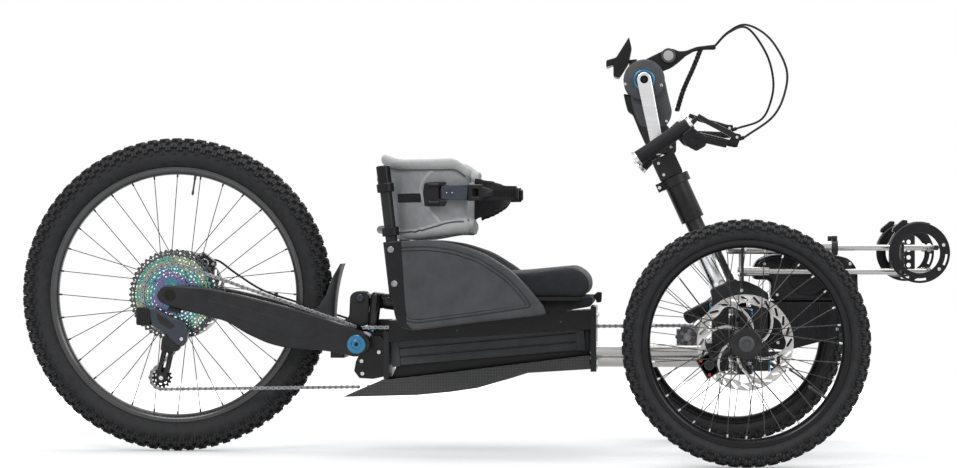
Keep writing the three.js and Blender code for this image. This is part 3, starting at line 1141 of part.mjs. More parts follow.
const cushionRings = cushionShares.map(([place, share]) => cushionOutline.map(([x, z]) => [
  x * share + (1 - share) * cushionOutline[cushionNose][0], cushionHalf * (2 * place - 1), pan.high + gap + (z - pan.high - gap)
  * share]));
piece(machine, 'seat_cushion', loft(cushionRings), clothBlack());

// Backrest: posts in the sockets, bowed bars, padded wrap, belly pad and straps
const bowX = wrap.x - wrap.depth - wrap.thick / 2 - backBar.radius - gap + backBar.lift;
const bowed = backBar.levels.map((z) => hose([along(-1, z), [bowX, -backBar.bowY, z], [bowX, 0, z],
  [bowX, backBar.bowY, z], along(1, z)], backBar.radius, thinSides, bowSteps));
const posts = sides.flatMap((side) => [
  bar(along(side, post.low[1] + gap), along(side, post.high[1]), post.radius, midSides),
  bar(along(side, postClamp.level), along(side, postClamp.level + postClamp.length), postClamp.radius, midSides),
]);
piece(machine, 'backrest_frame', join(...posts, ...bowed), paintBlack());
const wrapRings = Array.from({ length: wrap.steps + 1 }, (_, i) => {
  const degrees = wrap.open + ((360 - 2 * wrap.open) * i) / wrap.steps;
  const turn = radians(degrees);
  const share = Math.abs(degrees - 180) / (180 - wrap.open);
  const ease = THREE.MathUtils.smoothstep(share, wrapFallShare, 1);
  const low = THREE.MathUtils.lerp(wrapBack[0], wrapFront[0], ease);
  const high = THREE.MathUtils.lerp(wrapBack[1], wrapFront[1], ease);
  const at = (out, z) => [wrap.x + (wrap.depth + out) * Math.cos(turn), (wrap.width + out) * Math.sin(turn), z];
  const half = wrap.thick / 2;
  return [at(half, low + wrapRoll), at(half, high - wrapRoll), at(0, high), at(-half, high - wrapRoll),
    at(-half, low + wrapRoll), at(0, low)];
});
piece(machine, 'torso_wrap', loft(wrapRings), clothGrey());
const bellyRings = Array.from({ length: bellyPad.steps + 1 }, (_, i) => {
  const turn = radians(bellyPad.spread * ((2 * i) / bellyPad.steps - 1));
  const at = (out, z) => [bellyPad.x + (bellyPad.depth + out) * Math.cos(turn), (bellyPad.width + out) * Math.sin(turn), z];
  const half = bellyPad.thick / 2;
  return [at(half, bellyPad.low + half), at(half, bellyPad.high - half), at(0, bellyPad.high),
    at(-half, bellyPad.high - half), at(-half, bellyPad.low + half), at(0, bellyPad.low)];
});
piece(machine, 'belly_pad', loft(bellyRings), clothBlack());
for (const [name, side] of [['right', -1], ['left', 1]]) {
  const band = strapBand;
  const rings = strapPath.map(([x, y], i) => {
    const [px, py] = strapPath[Math.max(0, i - 1)];
    const [nx, ny] = strapPath[Math.min(strapPath.length - 1, i + 1)];
    const across = new THREE.Vector2(-(ny - py), nx - px).normalize().multiplyScalar(band.thick / 2);
    const at = (end, z) => [x + end * across.x, side * (y + end * across.y), z];
    return [at(-1, band.low), at(1, band.low), at(1, band.high), at(-1, band.high)];
  });
  const way = new THREE.Vector2(buckle.to[0] - buckle.from[0], buckle.to[1] - buckle.from[1]);
  const body = block(0, way.length(), 0, side * buckle.thick, buckle.low, buckle.high);
  body.rotateZ(side * Math.atan2(way.y, way.x)).translate(buckle.from[0], side * buckle.from[1], 0);
  piece(machine, `${name}_chest_strap`, join(loft(rings), body), plasticBlack());
}

export default machine;
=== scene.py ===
import math

import bmesh
import bpy
import numpy as np
from bpy.props import FloatProperty, FloatVectorProperty, IntProperty, PointerProperty
from mathutils import Matrix, Vector
from mathutils.bvhtree import BVHTree


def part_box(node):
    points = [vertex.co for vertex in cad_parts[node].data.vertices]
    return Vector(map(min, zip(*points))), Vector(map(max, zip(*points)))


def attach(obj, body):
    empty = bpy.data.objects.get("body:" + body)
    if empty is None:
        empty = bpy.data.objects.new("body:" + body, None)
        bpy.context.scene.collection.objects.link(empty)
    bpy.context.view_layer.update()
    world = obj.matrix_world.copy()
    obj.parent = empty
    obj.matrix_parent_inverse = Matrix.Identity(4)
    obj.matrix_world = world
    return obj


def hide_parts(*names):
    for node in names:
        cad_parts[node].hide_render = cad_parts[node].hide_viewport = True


bl_info = {
    "name": "Recumbent Off-road Handcycle",
    "version": (1, 0, 0),
    "blender": (4, 5, 0),
    "location": "3D View > Sidebar > Handcycle",
    "description": "Tyres, wheels, drive train, frame, seat, wrap and stage of a three-wheeled handcycle",
    "category": "Object",
}

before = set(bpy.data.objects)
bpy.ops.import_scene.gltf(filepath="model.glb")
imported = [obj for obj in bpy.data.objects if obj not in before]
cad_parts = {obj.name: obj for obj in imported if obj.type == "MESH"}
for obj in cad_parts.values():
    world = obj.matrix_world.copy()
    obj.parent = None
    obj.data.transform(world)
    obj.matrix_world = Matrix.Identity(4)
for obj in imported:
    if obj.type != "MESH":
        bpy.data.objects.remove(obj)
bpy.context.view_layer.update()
MM = 0.001

# Axle centres in millimetres: X, Z, and Y of the wheel's middle
REAR = (-681.0, 354.0, 0.0)
FRONT = {"right": (587.5, 260.0, -360.0), "left": (587.5, 260.0, 360.0)}
CASSETTE_Y = (-39.5, -71.5)
CHAIN_Y = -55.5
SIDES = (("right", -1), ("left", 1))
DRIVE_SPROCKET = (470, 262)
UPPER_JOCKEY = (-690, 238)
LOWER_JOCKEY = (-706, 168)
PIVOT = (-262, 245.6)
SHOCK_EYE = (-262, 346.6)
FOOT_RAIL_Y = 62
FOOT_RAIL_HEIGHTS = (460, 407)
POST_Y = 150.0
WRAP_X = -60
ROTOR_RADIUS = 101.5
TYRE_WALL = 3
CHAIN_PITCH = 12.7
SPOKE_OFFSET = 1.1

# Camera at the photograph's angle: place in metres, lens in millimetres, turn and tilt in degrees
CAMERA_PLACE = (0.382, -5.7, 0.467)
CAMERA_LENS = 95.55
CAMERA_TURN, CAMERA_TILT = 3.807, 0.237


# Forms
# A form is (points, [face arrays]) in millimetres.


def grid(m, n, wrap_m, wrap_n):
    """Faces of an m by n grid of points numbered row by row. A wrapped side joins last to first."""
    i, j = np.meshgrid(np.arange(m if wrap_m else m - 1), np.arange(n if wrap_n else n - 1), indexing="ij")
    k, l = (i + 1) % m, (j + 1) % n
    return np.stack([i * n + j, i * n + l, k * n + l, k * n + j], -1).reshape(-1, 4)


def skin(rings, loop=False, ends=True):
    """Surface through rings of points. With loop the last ring joins the first, else flat ends close it."""
    rings = np.asarray(rings, float)
    m, n = rings.shape[:2]
    faces = [grid(m, n, loop, True)]
    if ends and not loop:
        faces += [np.arange(n)[None, ::-1], (m - 1) * n + np.arange(n)[None]]
    return rings.reshape(-1, 3), faces


def unit(v):
    """Each row divided by its length."""
    v = np.asarray(v, float)
    return v / np.linalg.norm(v, axis=-1, keepdims=True)


def turned(profile, start, way, sides=48, closed=False):
    """Profile of [along, radius] turned about the line from start along way.

    Point = start + along * way + radius * (cos a * u + sin a * w), with u and w square to way."""
    profile = np.asarray(profile, float)
    way = unit(np.asarray(way, float))
    u = unit(np.cross(way, np.eye(3)[np.argmin(np.abs(way))]))
    w = np.cross(way, u)
    a = even_turns(sides)
    ring = np.cos(a)[:, None] * u + np.sin(a)[:, None] * w
    points = np.asarray(start, float) + profile[:, 0, None, None] * way + profile[:, 1, None, None] * ring
    return skin(points, loop=closed)


def rod(a, b, radius, chamfer=0.6, sides=32):
    """Round bar from a to b with a small chamfer at each end."""
    a, b = np.asarray(a, float), np.asarray(b, float)
    far = np.linalg.norm(b - a)
    c = min(chamfer, far / 3)
    return turned([[0, radius - c], [c, radius], [far - c, radius], [far, radius - c]], a, b - a, sides)


def tube_wall(a, b, outer, inner, chamfer=0.6, sides=40):
    """Open tube from a to b: a closed wall section turned about its axis."""
    a, b = np.asarray(a, float), np.asarray(b, float)
    far = np.linalg.norm(b - a)
    c = chamfer
    wall = [[0, inner + c], [0, outer - c], [c, outer], [far - c, outer], [far, outer - c], [far, inner + c],
            [far - c, inner], [c, inner]]
    return turned(wall, a, b - a, sides, closed=True)


def smooth_path(points, count):
    """Catmull-Rom curve through the points, sampled at even shares of its length."""
    p = np.asarray(points, float)
    p = np.vstack([2 * p[0] - p[1], p, 2 * p[-1] - p[-2]])
    share = np.linspace(0, len(points) - 1, 16 * len(points))
    i = np.clip(share.astype(int), 0, len(points) - 2)
    t = (share - i)[:, None]
    a, b, c, d = p[i], p[i + 1], p[i + 2], p[i + 3]
    line = 0.5 * (2 * b + (c - a) * t + (2 * a - 5 * b + 4 * c - d) * t**2 + (3 * b - a - 3 * c + d) * t**3)
    far = np.concatenate([[0], np.cumsum(np.linalg.norm(np.diff(line, axis=0), axis=1))])
    even = np.linspace(0, far[-1], count)
    return np.stack([np.interp(even, far, line[:, k]) for k in range(line.shape[1])], -1)


def carried(path, section, ref=(0, 1, 0), loop=False):
    """Section of [side, up] points carried along a path; side is square to ref and to the path's tangent."""
    path = np.asarray(path, float)
    if loop:
        tangent = unit(np.roll(path, -1, 0) - np.roll(path, 1, 0))
    else:
        tangent = unit(np.gradient(path, axis=0))
    side = unit(np.cross(np.asarray(ref, float), tangent))
    up = np.cross(tangent, side)
    s = np.asarray(section, float)
    if s.ndim == 2:
        s = np.broadcast_to(s, (len(path), *s.shape))
    rings = path[:, None] + s[..., 0, None] * side[:, None] + s[..., 1, None] * up[:, None]
    return skin(rings, loop=loop)


def around(centre, radius, angle):
    """Points of a plane at a radius and angles about a centre."""
    return np.stack([centre[0] + radius * np.cos(angle), centre[1] + radius * np.sin(angle)], -1)


def around_axle(centre, radius, angle, y):
    """Points about a crosswise axle at a radius, angles and distances Y."""
    x, z = centre[0] + radius * np.cos(angle), centre[1] + radius * np.sin(angle)
    return np.stack([x, np.broadcast_to(y, x.shape), z], -1)


def ribbon(line, half):
    """Outline of a band along a line of the side plane, reaching half its width to both sides."""
    way = unit(np.gradient(line, axis=0))
    side = np.stack([-way[:, 1], way[:, 0]], -1)
    return np.vstack([line + side * half, (line - side * half)[::-1]])


def even_turns(count):
    """Angles that share out a full turn."""
    return np.linspace(0, 2 * np.pi, count, endpoint=False)


def circle(radius, sides=16, centre=(0.0, 0.0)):
    """Points of a circle."""
    return around(centre, radius, even_turns(sides))


def round_tube(path, radius, sides=14):
    """Round tube on a path. Each ring's side is the last one's less its part along the new tangent."""
    path = np.asarray(path, float)
    tangent = unit(np.gradient(path, axis=0))
    side = [unit(np.cross(tangent[0], np.eye(3)[np.argmin(np.abs(tangent[0]))]))]
    for t in tangent[1:]:
        side.append(unit(side[-1] - t * np.dot(side[-1], t)))
    side = np.array(side)
    up = np.cross(tangent, side)
    s = circle(radius, sides)
    return skin(path[:, None] + s[None, :, :1] * side[:, None] + s[None, :, 1:] * up[:, None])


def hose(points, radius, count=60, sides=14):
    """Round hose on a smooth curve through the points."""
    return round_tube(smooth_path(points, count), radius, sides)


def fillet(points, radius, steps=5):
    """Outline whose corners are rounded: each corner becomes a quadratic curve between points radius away."""
    p = np.asarray(points, float)
    back, front = np.roll(p, 1, 0) - p, np.roll(p, -1, 0) - p
    far_b, far_f = np.linalg.norm(back, axis=1), np.linalg.norm(front, axis=1)
    r = np.minimum(radius, np.minimum(far_b, far_f) * 0.45)[:, None]
    a, b = p + back / far_b[:, None] * r, p + front / far_f[:, None] * r
    t = np.linspace(0, 1, steps)[None, :, None]
    return ((1 - t) ** 2 * a[:, None] + 2 * t * (1 - t) * p[:, None] + t**2 * b[:, None]).reshape(-1, 2)


def points_of(items, key="co"):
    """Points of a mesh's vertices, or with the key center the middles of its faces."""
    flat = np.empty(len(items) * 3)
    items.foreach_get(key, flat)
    return flat.reshape(-1, 3)


def pressed(outline, low, high, holes=(), edge=0.8, steps=2):
    """Flat [x, z] outline with holes, thick from Y low to high, its edges rounded by edge."""
    curve = bpy.data.curves.new("outline", "CURVE")
    curve.dimensions, curve.fill_mode = "2D", "BOTH"
    curve.extrude, curve.bevel_depth, curve.bevel_resolution = (high - low) / 2 - edge, edge, steps
    curve.offset = -edge
    for points in [outline, *holes]:
        p = np.asarray(points, float)
        spline = curve.splines.new("POLY")
        spline.points.add(len(p) - 1)
        spline.points.foreach_set("co", np.hstack([p, np.zeros((len(p), 1)), np.ones((len(p), 1))]).ravel())
        spline.use_cyclic_u = True
    holder = bpy.data.objects.new("outline", curve)
    mesh = bpy.data.meshes.new_from_object(holder)
    co = points_of(mesh.vertices)
    faces = {}
    for poly in mesh.polygons:
        faces.setdefault(len(poly.vertices), []).append(tuple(poly.vertices))
    bpy.data.objects.remove(holder)
    bpy.data.meshes.remove(mesh)
    bpy.data.curves.remove(curve)
    points = np.stack([co[:, 0], (low + high) / 2 - co[:, 2], co[:, 1]], -1)
    return points, [np.array(f) for f in faces.values()]


def middle_plate(outline, corner, half, edge=0.8, steps=2):
    """Outline with its corners rounded, reaching half its thickness to both sides of the middle plane."""
    return pressed(fillet(outline, corner), -half, half, edge=edge, steps=steps)


def crossbar(x, z, half, radius, chamfer=0.6, sides=32):
    """Round bar straight across the machine."""
    return rod((x, -half, z), (x, half, z), radius, chamfer, sides)


def slab(outline, side, near, far, holes=(), edge=0.8, steps=2):
    """Flat outline on one side of the machine, between two distances from its middle."""
    return pressed(outline, *sorted((side * near, side * far)), holes, edge, steps)


def cap(profile, x, y, z, side, sides=40, closed=False):
    """Profile of [outwards, radius] turned about a crosswise line, from a distance y on one side."""
    return turned(profile, (x, side * y, z), (0, side, 0), sides, closed)


def block(low, high, edge=0.8):
    """Box between two corners with its edges rounded."""
    (x0, y0, z0), (x1, y1, z1) = low, high
    return pressed([[x0, z0], [x1, z0], [x1, z1], [x0, z1]], y0, y1, edge=min(edge, (y1 - y0) / 3))


def moved(form, matrix):
    """Form put through a 4 by 4 matrix."""
    m = np.asarray(matrix, float)
    return form[0] @ m[:3, :3].T + m[:3, 3], form[1]


def joined(forms):
    """Several forms as one."""
    points, faces, start = [], [], 0
    for p, f in forms:
        points.append(p)
        faces += [np.asarray(k) + start for k in f]
        start += len(p)
    return np.vstack(points), faces


def copies(form, turns, places):
    """The form repeated: each copy is turned by one of the 3 by 3 turns, then moved to its place."""
    p, f = form
    turns, places = np.asarray(turns, float), np.asarray(places, float)
    points = np.einsum("nij,kj->nki", turns, p) + places[:, None]
    starts = np.arange(len(places))[:, None, None] * len(p)
    faces = [(np.asarray(k)[None] + starts).reshape(-1, np.asarray(k).shape[1]) for k in f]
    return points.reshape(-1, 3), faces


def turns_about_y(angles):
    """Turns in the side plane: X goes towards Z by each angle."""
    c, s = np.cos(angles), np.sin(angles)
    zero, one = np.zeros_like(c), np.ones_like(c)
    return np.stack([np.stack([c, zero, -s], -1), np.stack([zero, one, zero], -1),
            np.stack([s, zero, c], -1)], -2)


def closed_up(mesh):
    """Merges doubled points and turns every face outwards."""
    work = bmesh.new()
    work.from_mesh(mesh)
    bmesh.ops.remove_doubles(work, verts=work.verts, dist=2e-6)
    bmesh.ops.recalc_face_normals(work, faces=work.faces)
    work.to_mesh(mesh)
    work.free()


def piece(name, body, parts, stands_for=(), sharp=35.0):
    """Makes one object from pairs of a form and a material's name and lets it ride on its body."""
    points, faces, marks, mats, start = [], [], [], [], 0
    for form, mat in parts:
        if mat not in mats:
            mats.append(mat)
        p, f = form
        points.append(np.asarray(p) * MM)
        for k in f:
            rows = (np.asarray(k) + start).tolist()
            faces += rows
            marks += [mats.index(mat)] * len(rows)
        start += len(p)
    mesh = bpy.data.meshes.new(name)
    mesh.from_pydata(np.vstack(points), [], faces)
    mesh.polygons.foreach_set("material_index", marks)
    for mat in mats:
        mesh.materials.append(MATERIALS[mat])
    closed_up(mesh)
    return placed(name, mesh, body, stands_for, sharp)


def placed(name, mesh, body, stands_for=(), sharp=35.0, bevel=0.0):
    """Links a mesh as an object, shades it smooth up to the sharp angle, gives it its body and hides the
    parts it stands for.
    """
    mesh.polygons.foreach_set("use_smooth", [True] * len(mesh.polygons))
    mesh.set_sharp_from_angle(angle=math.radians(sharp))
    obj = bpy.data.objects.new(name, mesh)
    bpy.context.scene.collection.objects.link(obj)
    if bevel:
        mod = obj.modifiers.new("edges", "BEVEL")
        mod.width, mod.segments, mod.limit_method, mod.angle_limit = bevel * MM, 2, "ANGLE", math.radians(42)
        mod.use_clamp_overlap = True
    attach(obj, body)
    if stands_for:
        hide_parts(*stands_for)
    return obj


def dressed(node, body, mat, bevel):
    """Copy of a fixed solid that stands for it: triangles merged into faces, edges broken."""
    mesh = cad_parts[node].data.copy()
    mesh.name = node + "_skin"
    work = bmesh.new()
    work.from_mesh(mesh)
    bmesh.ops.remove_doubles(work, verts=work.verts, dist=5e-6)
    bmesh.ops.dissolve_limit(work, angle_limit=math.radians(1.0), verts=work.verts, edges=work.edges)
    work.to_mesh(mesh)
    work.free()
    mesh.materials.clear()
    mesh.materials.append(MATERIALS[mat])
    mesh.polygons.foreach_set("material_index", np.zeros(len(mesh.polygons), int))
    return placed(mesh.name, mesh, body, (node,), 42.0, bevel)


# Materials


def node_of(tree, kind, *inputs, **values):
    """Adds a node.

    Inputs are given in order, values by the name of an input or else of an attribute. An output is linked."""
    node = tree.nodes.new(kind)
    for key, value in [*enumerate(inputs), *values.items()]:
        if isinstance(key, str) and key not in node.inputs:
            setattr(node, key, value)
        elif isinstance(value, bpy.types.NodeSocket):
            tree.links.new(value, node.inputs[key])
        else:
            node.inputs[key].default_value = value
    return node


MATERIALS = {}


def finish(name, colour, metallic=0.0, rough=0.4, mottle=(20.0, 0.15), grain=(900.0, 0.02), coat=0.0,
        sheen=0.0, streak=(1.0, 1.0, 1.0), rough_play=0.12, pattern=None, specular=0.5):
    """Material in its object's coordinates: a mottled colour, a roughness that wanders, and a fine grain."""
    mat = bpy.data.materials.new(name)
    mat.use_nodes = True
    tree = mat.node_tree
    shader = tree.nodes["Principled BSDF"]
    for key, value in (("Metallic", metallic), ("Coat Weight", coat), ("Coat Roughness", 0.12),
            ("Sheen Weight", sheen), ("Specular IOR Level", specular)):
        shader.inputs[key].default_value = value
    place = node_of(tree, "ShaderNodeTexCoord").outputs["Object"]
    stretch = node_of(tree, "ShaderNodeMapping", place, Scale=streak).outputs[0]
    cloud = node_of(tree, "ShaderNodeTexNoise", Vector=stretch, Scale=mottle[0], Detail=5.0, Roughness=0.6)
    ramp = node_of(tree, "ShaderNodeValToRGB", cloud.outputs["Fac"])
    dark = [max(0.0, c * (1 - mottle[1])) for c in colour]
    light = [min(1.0, c * (1 + mottle[1])) for c in colour]
    for stop, at, tone in zip(ramp.color_ramp.elements, (0.3, 0.7), (dark, light)):
        stop.position, stop.color = at, (*tone, 1)
    wander = node_of(tree, "ShaderNodeMapRange", cloud.outputs["Fac"],
        **{"To Min": max(0.03, rough - rough_play), "To Max": min(1.0, rough + rough_play)})
    fine = node_of(tree, "ShaderNodeTexNoise", Vector=stretch, Scale=grain[0], Detail=3.0)
    bump = node_of(tree, "ShaderNodeBump", Strength=0.6, Distance=grain[1] * MM, Height=fine.outputs["Fac"])
    for key, output in (("Base Color", ramp.outputs["Color"]), ("Roughness", wander.outputs["Result"]),
            ("Normal", bump.outputs["Normal"])):
        tree.links.new(output, shader.inputs[key])
    if pattern:
        pattern(tree, place, shader.inputs["Base Color"], ramp, bump)
    MATERIALS[name] = mat


def twill(tree, place, colour, _, bump):
    """Carbon weave: two crossing bands, taken by turns along the diagonal, change both shade and height."""
    spin = node_of(tree, "ShaderNodeMapping", place, Rotation=(0.0, math.radians(45), 0.0),
        Scale=(1.0, 0.02, 1.0))
    squares = node_of(tree, "ShaderNodeTexChecker", spin.outputs[0], (0.012, 0.012, 0.014, 1),
        (0.07, 0.07, 0.066, 1), 420.0)
    threads = node_of(tree, "ShaderNodeTexWave", place, Scale=260.0, Distortion=0.4,
        bands_direction="DIAGONAL")
    both = node_of(tree, "ShaderNodeMix", data_type="RGBA", blend_type="MULTIPLY")
    both.inputs["Factor"].default_value = 0.45
    tree.links.new(squares.outputs["Color"], both.inputs[6])
    tree.links.new(threads.outputs["Color"], both.inputs[7])
    tree.links.new(both.outputs[2], colour)
    tree.links.new(threads.outputs["Fac"], bump.inputs["Height"])


def woven(scale, height):
    """Cloth: two crossing wave textures give the threads their height."""

    def apply(tree, place, _, __, bump):
        spin = node_of(tree, "ShaderNodeMapping", place, Rotation=(0.3, 0.5, 0.7)).outputs[0]
        waves = [node_of(tree, "ShaderNodeTexWave", spin, Scale=scale, Distortion=0.6,
                bands_direction=direction) for direction in ("X", "Z")]
        high = node_of(tree, "ShaderNodeMath", *(wave.outputs["Fac"] for wave in waves), operation="MAXIMUM")
        tree.links.new(high.outputs[0], bump.inputs["Height"])
        bump.inputs["Distance"].default_value = height * MM

    return apply


def oil_colours(tree, place, _, ramp, __):
    """Rainbow coating: the colour follows the distance from the cassette's axis, wandered by a noise."""
    band = 0.045
    centred = node_of(tree, "ShaderNodeMapping", place, Location=(-REAR[0] * MM, 0.0, -REAR[1] * MM),
        Scale=(1.0, 0.0, 1.0))
    far = node_of(tree, "ShaderNodeVectorMath", centred.outputs[0], operation="LENGTH")
    cloud = node_of(tree, "ShaderNodeTexNoise", place, Scale=18.0, Detail=2.0)
    mixed = node_of(tree, "ShaderNodeMath", cloud.outputs["Fac"], 0.11, far.outputs["Value"],
        operation="MULTIPLY_ADD")
    wrapped = node_of(tree, "ShaderNodeMath", mixed.outputs[0], band, operation="PINGPONG")
    share = node_of(tree, "ShaderNodeMath", wrapped.outputs[0], 1 / band, operation="MULTIPLY")
    stops = ramp.color_ramp
    stops.elements[0].position, stops.elements[0].color = 0.0, (0.16, 0.11, 0.22, 1)
    stops.elements[1].position, stops.elements[1].color = 1.0, (0.26, 0.28, 0.16, 1)
    for at, tone in ((0.25, (0.10, 0.14, 0.26, 1)), (0.5, (0.05, 0.22, 0.24, 1)),
            (0.75, (0.10, 0.30, 0.24, 1))):
        stops.elements.new(at).color = tone
    tree.links.new(share.outputs[0], ramp.inputs["Fac"])


def make_materials(look):
    """All the finishes, from the colours of the panel."""
    finish("frame_black", look.frame_colour, 0.0, 0.36, (35, 0.25), (1400, 0.012), specular=0.24)
    finish("gloss_black", (0.006, 0.006, 0.007), 0.0, 0.2, (35, 0.25), (1400, 0.008), specular=0.22,
        rough_play=0.06)
    finish("wheel_black", (0.008, 0.008, 0.009), 0.0, 0.24, (30, 0.2), (900, 0.008), coat=0.12, specular=0.25)
    finish("tyre_rubber", look.tyre_colour, 0.0, 0.66, (60, 0.3), (700, 0.12), rough_play=0.1, specular=0.22)
    finish("polished", look.polished_colour, 1.0, 0.22, (14, 0.08), (500, 0.006), streak=(1, 1, 12),
        rough_play=0.06)
    finish("rail_steel", (0.42, 0.41, 0.40), 1.0, 0.2, (10, 0.12), (400, 0.006), streak=(0.2, 4, 4),
        rough_play=0.05)
    finish("bright_steel", (0.56, 0.56, 0.57), 1.0, 0.28, (40, 0.12), (900, 0.01), rough_play=0.08)
    finish("rim_grey", (0.03, 0.03, 0.031), 0.0, 0.3, (30, 0.2), (900, 0.008), coat=0.5, specular=0.4)
    finish("dark_steel", (0.07, 0.07, 0.073), 0.8, 0.38, (60, 0.2), (900, 0.02), specular=0.3)
    finish("chain_steel", (0.24, 0.24, 0.25), 1.0, 0.34, (80, 0.3), (900, 0.02))
    finish("blue_anodised", look.accent_colour, 0.85, 0.26, (30, 0.12), (900, 0.006), rough_play=0.05)
    finish("grey_paint", (0.058, 0.059, 0.06), 0.0, 0.45, (40, 0.18), (1300, 0.03), specular=0.25)
    finish("moulded", look.plastic_colour, 0.0, 0.5, (25, 0.2), (1000, 0.08), rough_play=0.08, specular=0.22)
    finish("smooth_plastic", (0.007, 0.007, 0.008), 0.0, 0.32, (25, 0.2), (1500, 0.01), specular=0.2)
    finish("slate_plastic", (0.035, 0.042, 0.055), 0.1, 0.3, (40, 0.2), (1500, 0.01), specular=0.3)
    finish("hose_black", (0.006, 0.006, 0.006), 0.0, 0.34, (90, 0.2), (1500, 0.02), specular=0.2)
    finish("grip_black", (0.012, 0.012, 0.013), 0.0, 0.55, (60, 0.2), (1600, 0.12), specular=0.15)
    finish("carbon_weave", (0.03, 0.03, 0.03), 0.0, 0.3, coat=0.2, grain=(500, 0.04), pattern=twill,
        specular=0.25)
    finish("rainbow_steel", (0.3, 0.5, 0.5), 1.0, 0.3, (30, 0.1), (900, 0.008), pattern=oil_colours)
    finish("wrap_cloth", look.wrap_colour, 0.0, 0.85, (45, 0.12), (600, 0.2), sheen=0.15,
           pattern=woven(330.0, 0.22), specular=0.2)
    finish("wrap_roll", (0.34, 0.34, 0.335), 0.0, 0.6, (30, 0.08), (700, 0.12), sheen=0.1, specular=0.3)
    finish("piping", (0.07, 0.075, 0.085), 0.0, 0.6, (80, 0.1), (900, 0.1), specular=0.3)
    finish("lining", (0.014, 0.014, 0.015), 0.0, 0.9, (60, 0.2), (700, 0.2), sheen=0.08,
        pattern=woven(420.0, 0.2), specular=0.15)
    finish("cushion_cloth", (0.02, 0.021, 0.024), 0.0, 0.8, (50, 0.2), (700, 0.15), sheen=0.1,
           pattern=woven(380.0, 0.15), specular=0.15)
    finish("webbing", (0.01, 0.01, 0.011), 0.0, 0.65, (90, 0.2), (800, 0.1), pattern=woven(500.0, 0.18),
        specular=0.2)
    finish("red_detail", (0.5, 0.02, 0.02), 0.2, 0.35)


def colour_of(name, description, default):
    """Colour property of the panel."""
    return FloatVectorProperty(name=name, description=description, subtype="COLOR", default=default, min=0,
        max=1)


class HandcycleLook(bpy.types.PropertyGroup):
    """Colours and sizes that a user would change."""

    frame_colour: colour_of("Frame", "Satin coat of the frame", (0.014, 0.014, 0.015))
    tyre_colour: colour_of("Tyres", "Tyre rubber", (0.02, 0.02, 0.021))
    polished_colour: colour_of("Polished", "Polished aluminium tubes and arms", (0.66, 0.66, 0.67))
    accent_colour: colour_of("Accent", "Anodised pivot caps and crank ring", (0.045, 0.17, 0.3))
    plastic_colour: colour_of("Plastic", "Moulded side guards and covers", (0.052, 0.053, 0.056))
    wrap_colour: colour_of("Wrap", "Padded cloth round the torso", (0.27, 0.27, 0.275))
    rear_pitches: IntProperty(name="Rear tread", description="Tread pitches round the rear tyre",
        default=78, min=20, max=140)
    front_pitches: IntProperty(name="Front tread", description="Tread pitches round each front tyre",
        default=58, min=20, max=120)
    knob_height: FloatProperty(name="Knob height", description="Height of the tread knobs", default=0.007,
        min=0.001, max=0.01, unit="LENGTH")
    spokes: IntProperty(name="Spokes", description="Spokes in each wheel", default=32, min=16, max=48)


# Tyres


def casing_point(tyre, phi):
    """Radius and Y of the casing at the angle phi from its crown, on an ellipse."""
    crown, bead, half = tyre
    tall = (crown - bead + TYRE_WALL) / 2
    return crown - tall + tall * np.cos(phi), half * np.sin(phi)


def tyre_casing(tyre, centre, steps=160):
    """Closed casing wall: an arc from bead to bead and one a wall inside it, turned about the axle."""
    crown, bead, half = tyre
    phi = np.linspace(-math.radians(156), math.radians(156), 41)
    radius, y = casing_point(tyre, phi)
    ribs = 0.35 * (np.cos(phi * 46) > 0.55) * (np.abs(phi) > math.radians(95))
    outer = np.stack([y + ribs * np.sin(phi), radius + ribs * np.cos(phi)], -1)
    radius, y = casing_point((crown - TYRE_WALL, bead + TYRE_WALL, half - TYRE_WALL), phi[::-1])
    wall = np.vstack([outer, np.stack([y, radius], -1)])
    return turned(wall + np.array([centre[2], 0]), (centre[0], 0, centre[1]), (0, 1, 0), steps, closed=True)


def knob_form(long, wide, high):
    """One tread knob: a long by wide block with sloping sides and a broken edge, from just below 0."""
    def ring(share, z):
        """Rounded rectangle at height z, shrunk to a share of its size."""
        l, w = long / 2 * share, wide / 2 * share
        c = min(l, w) * 0.3
        return [[-l + c, -w, z], [l - c, -w, z], [l, -w + c, z], [l, w - c, z], [l - c, w, z], [-l + c, w, z],
                [-l, w - c, z], [-l, -w + c, z]]
    return skin(np.array([ring(1.1, -1.5), ring(1.0, high * 0.9), ring(0.92, high)]))


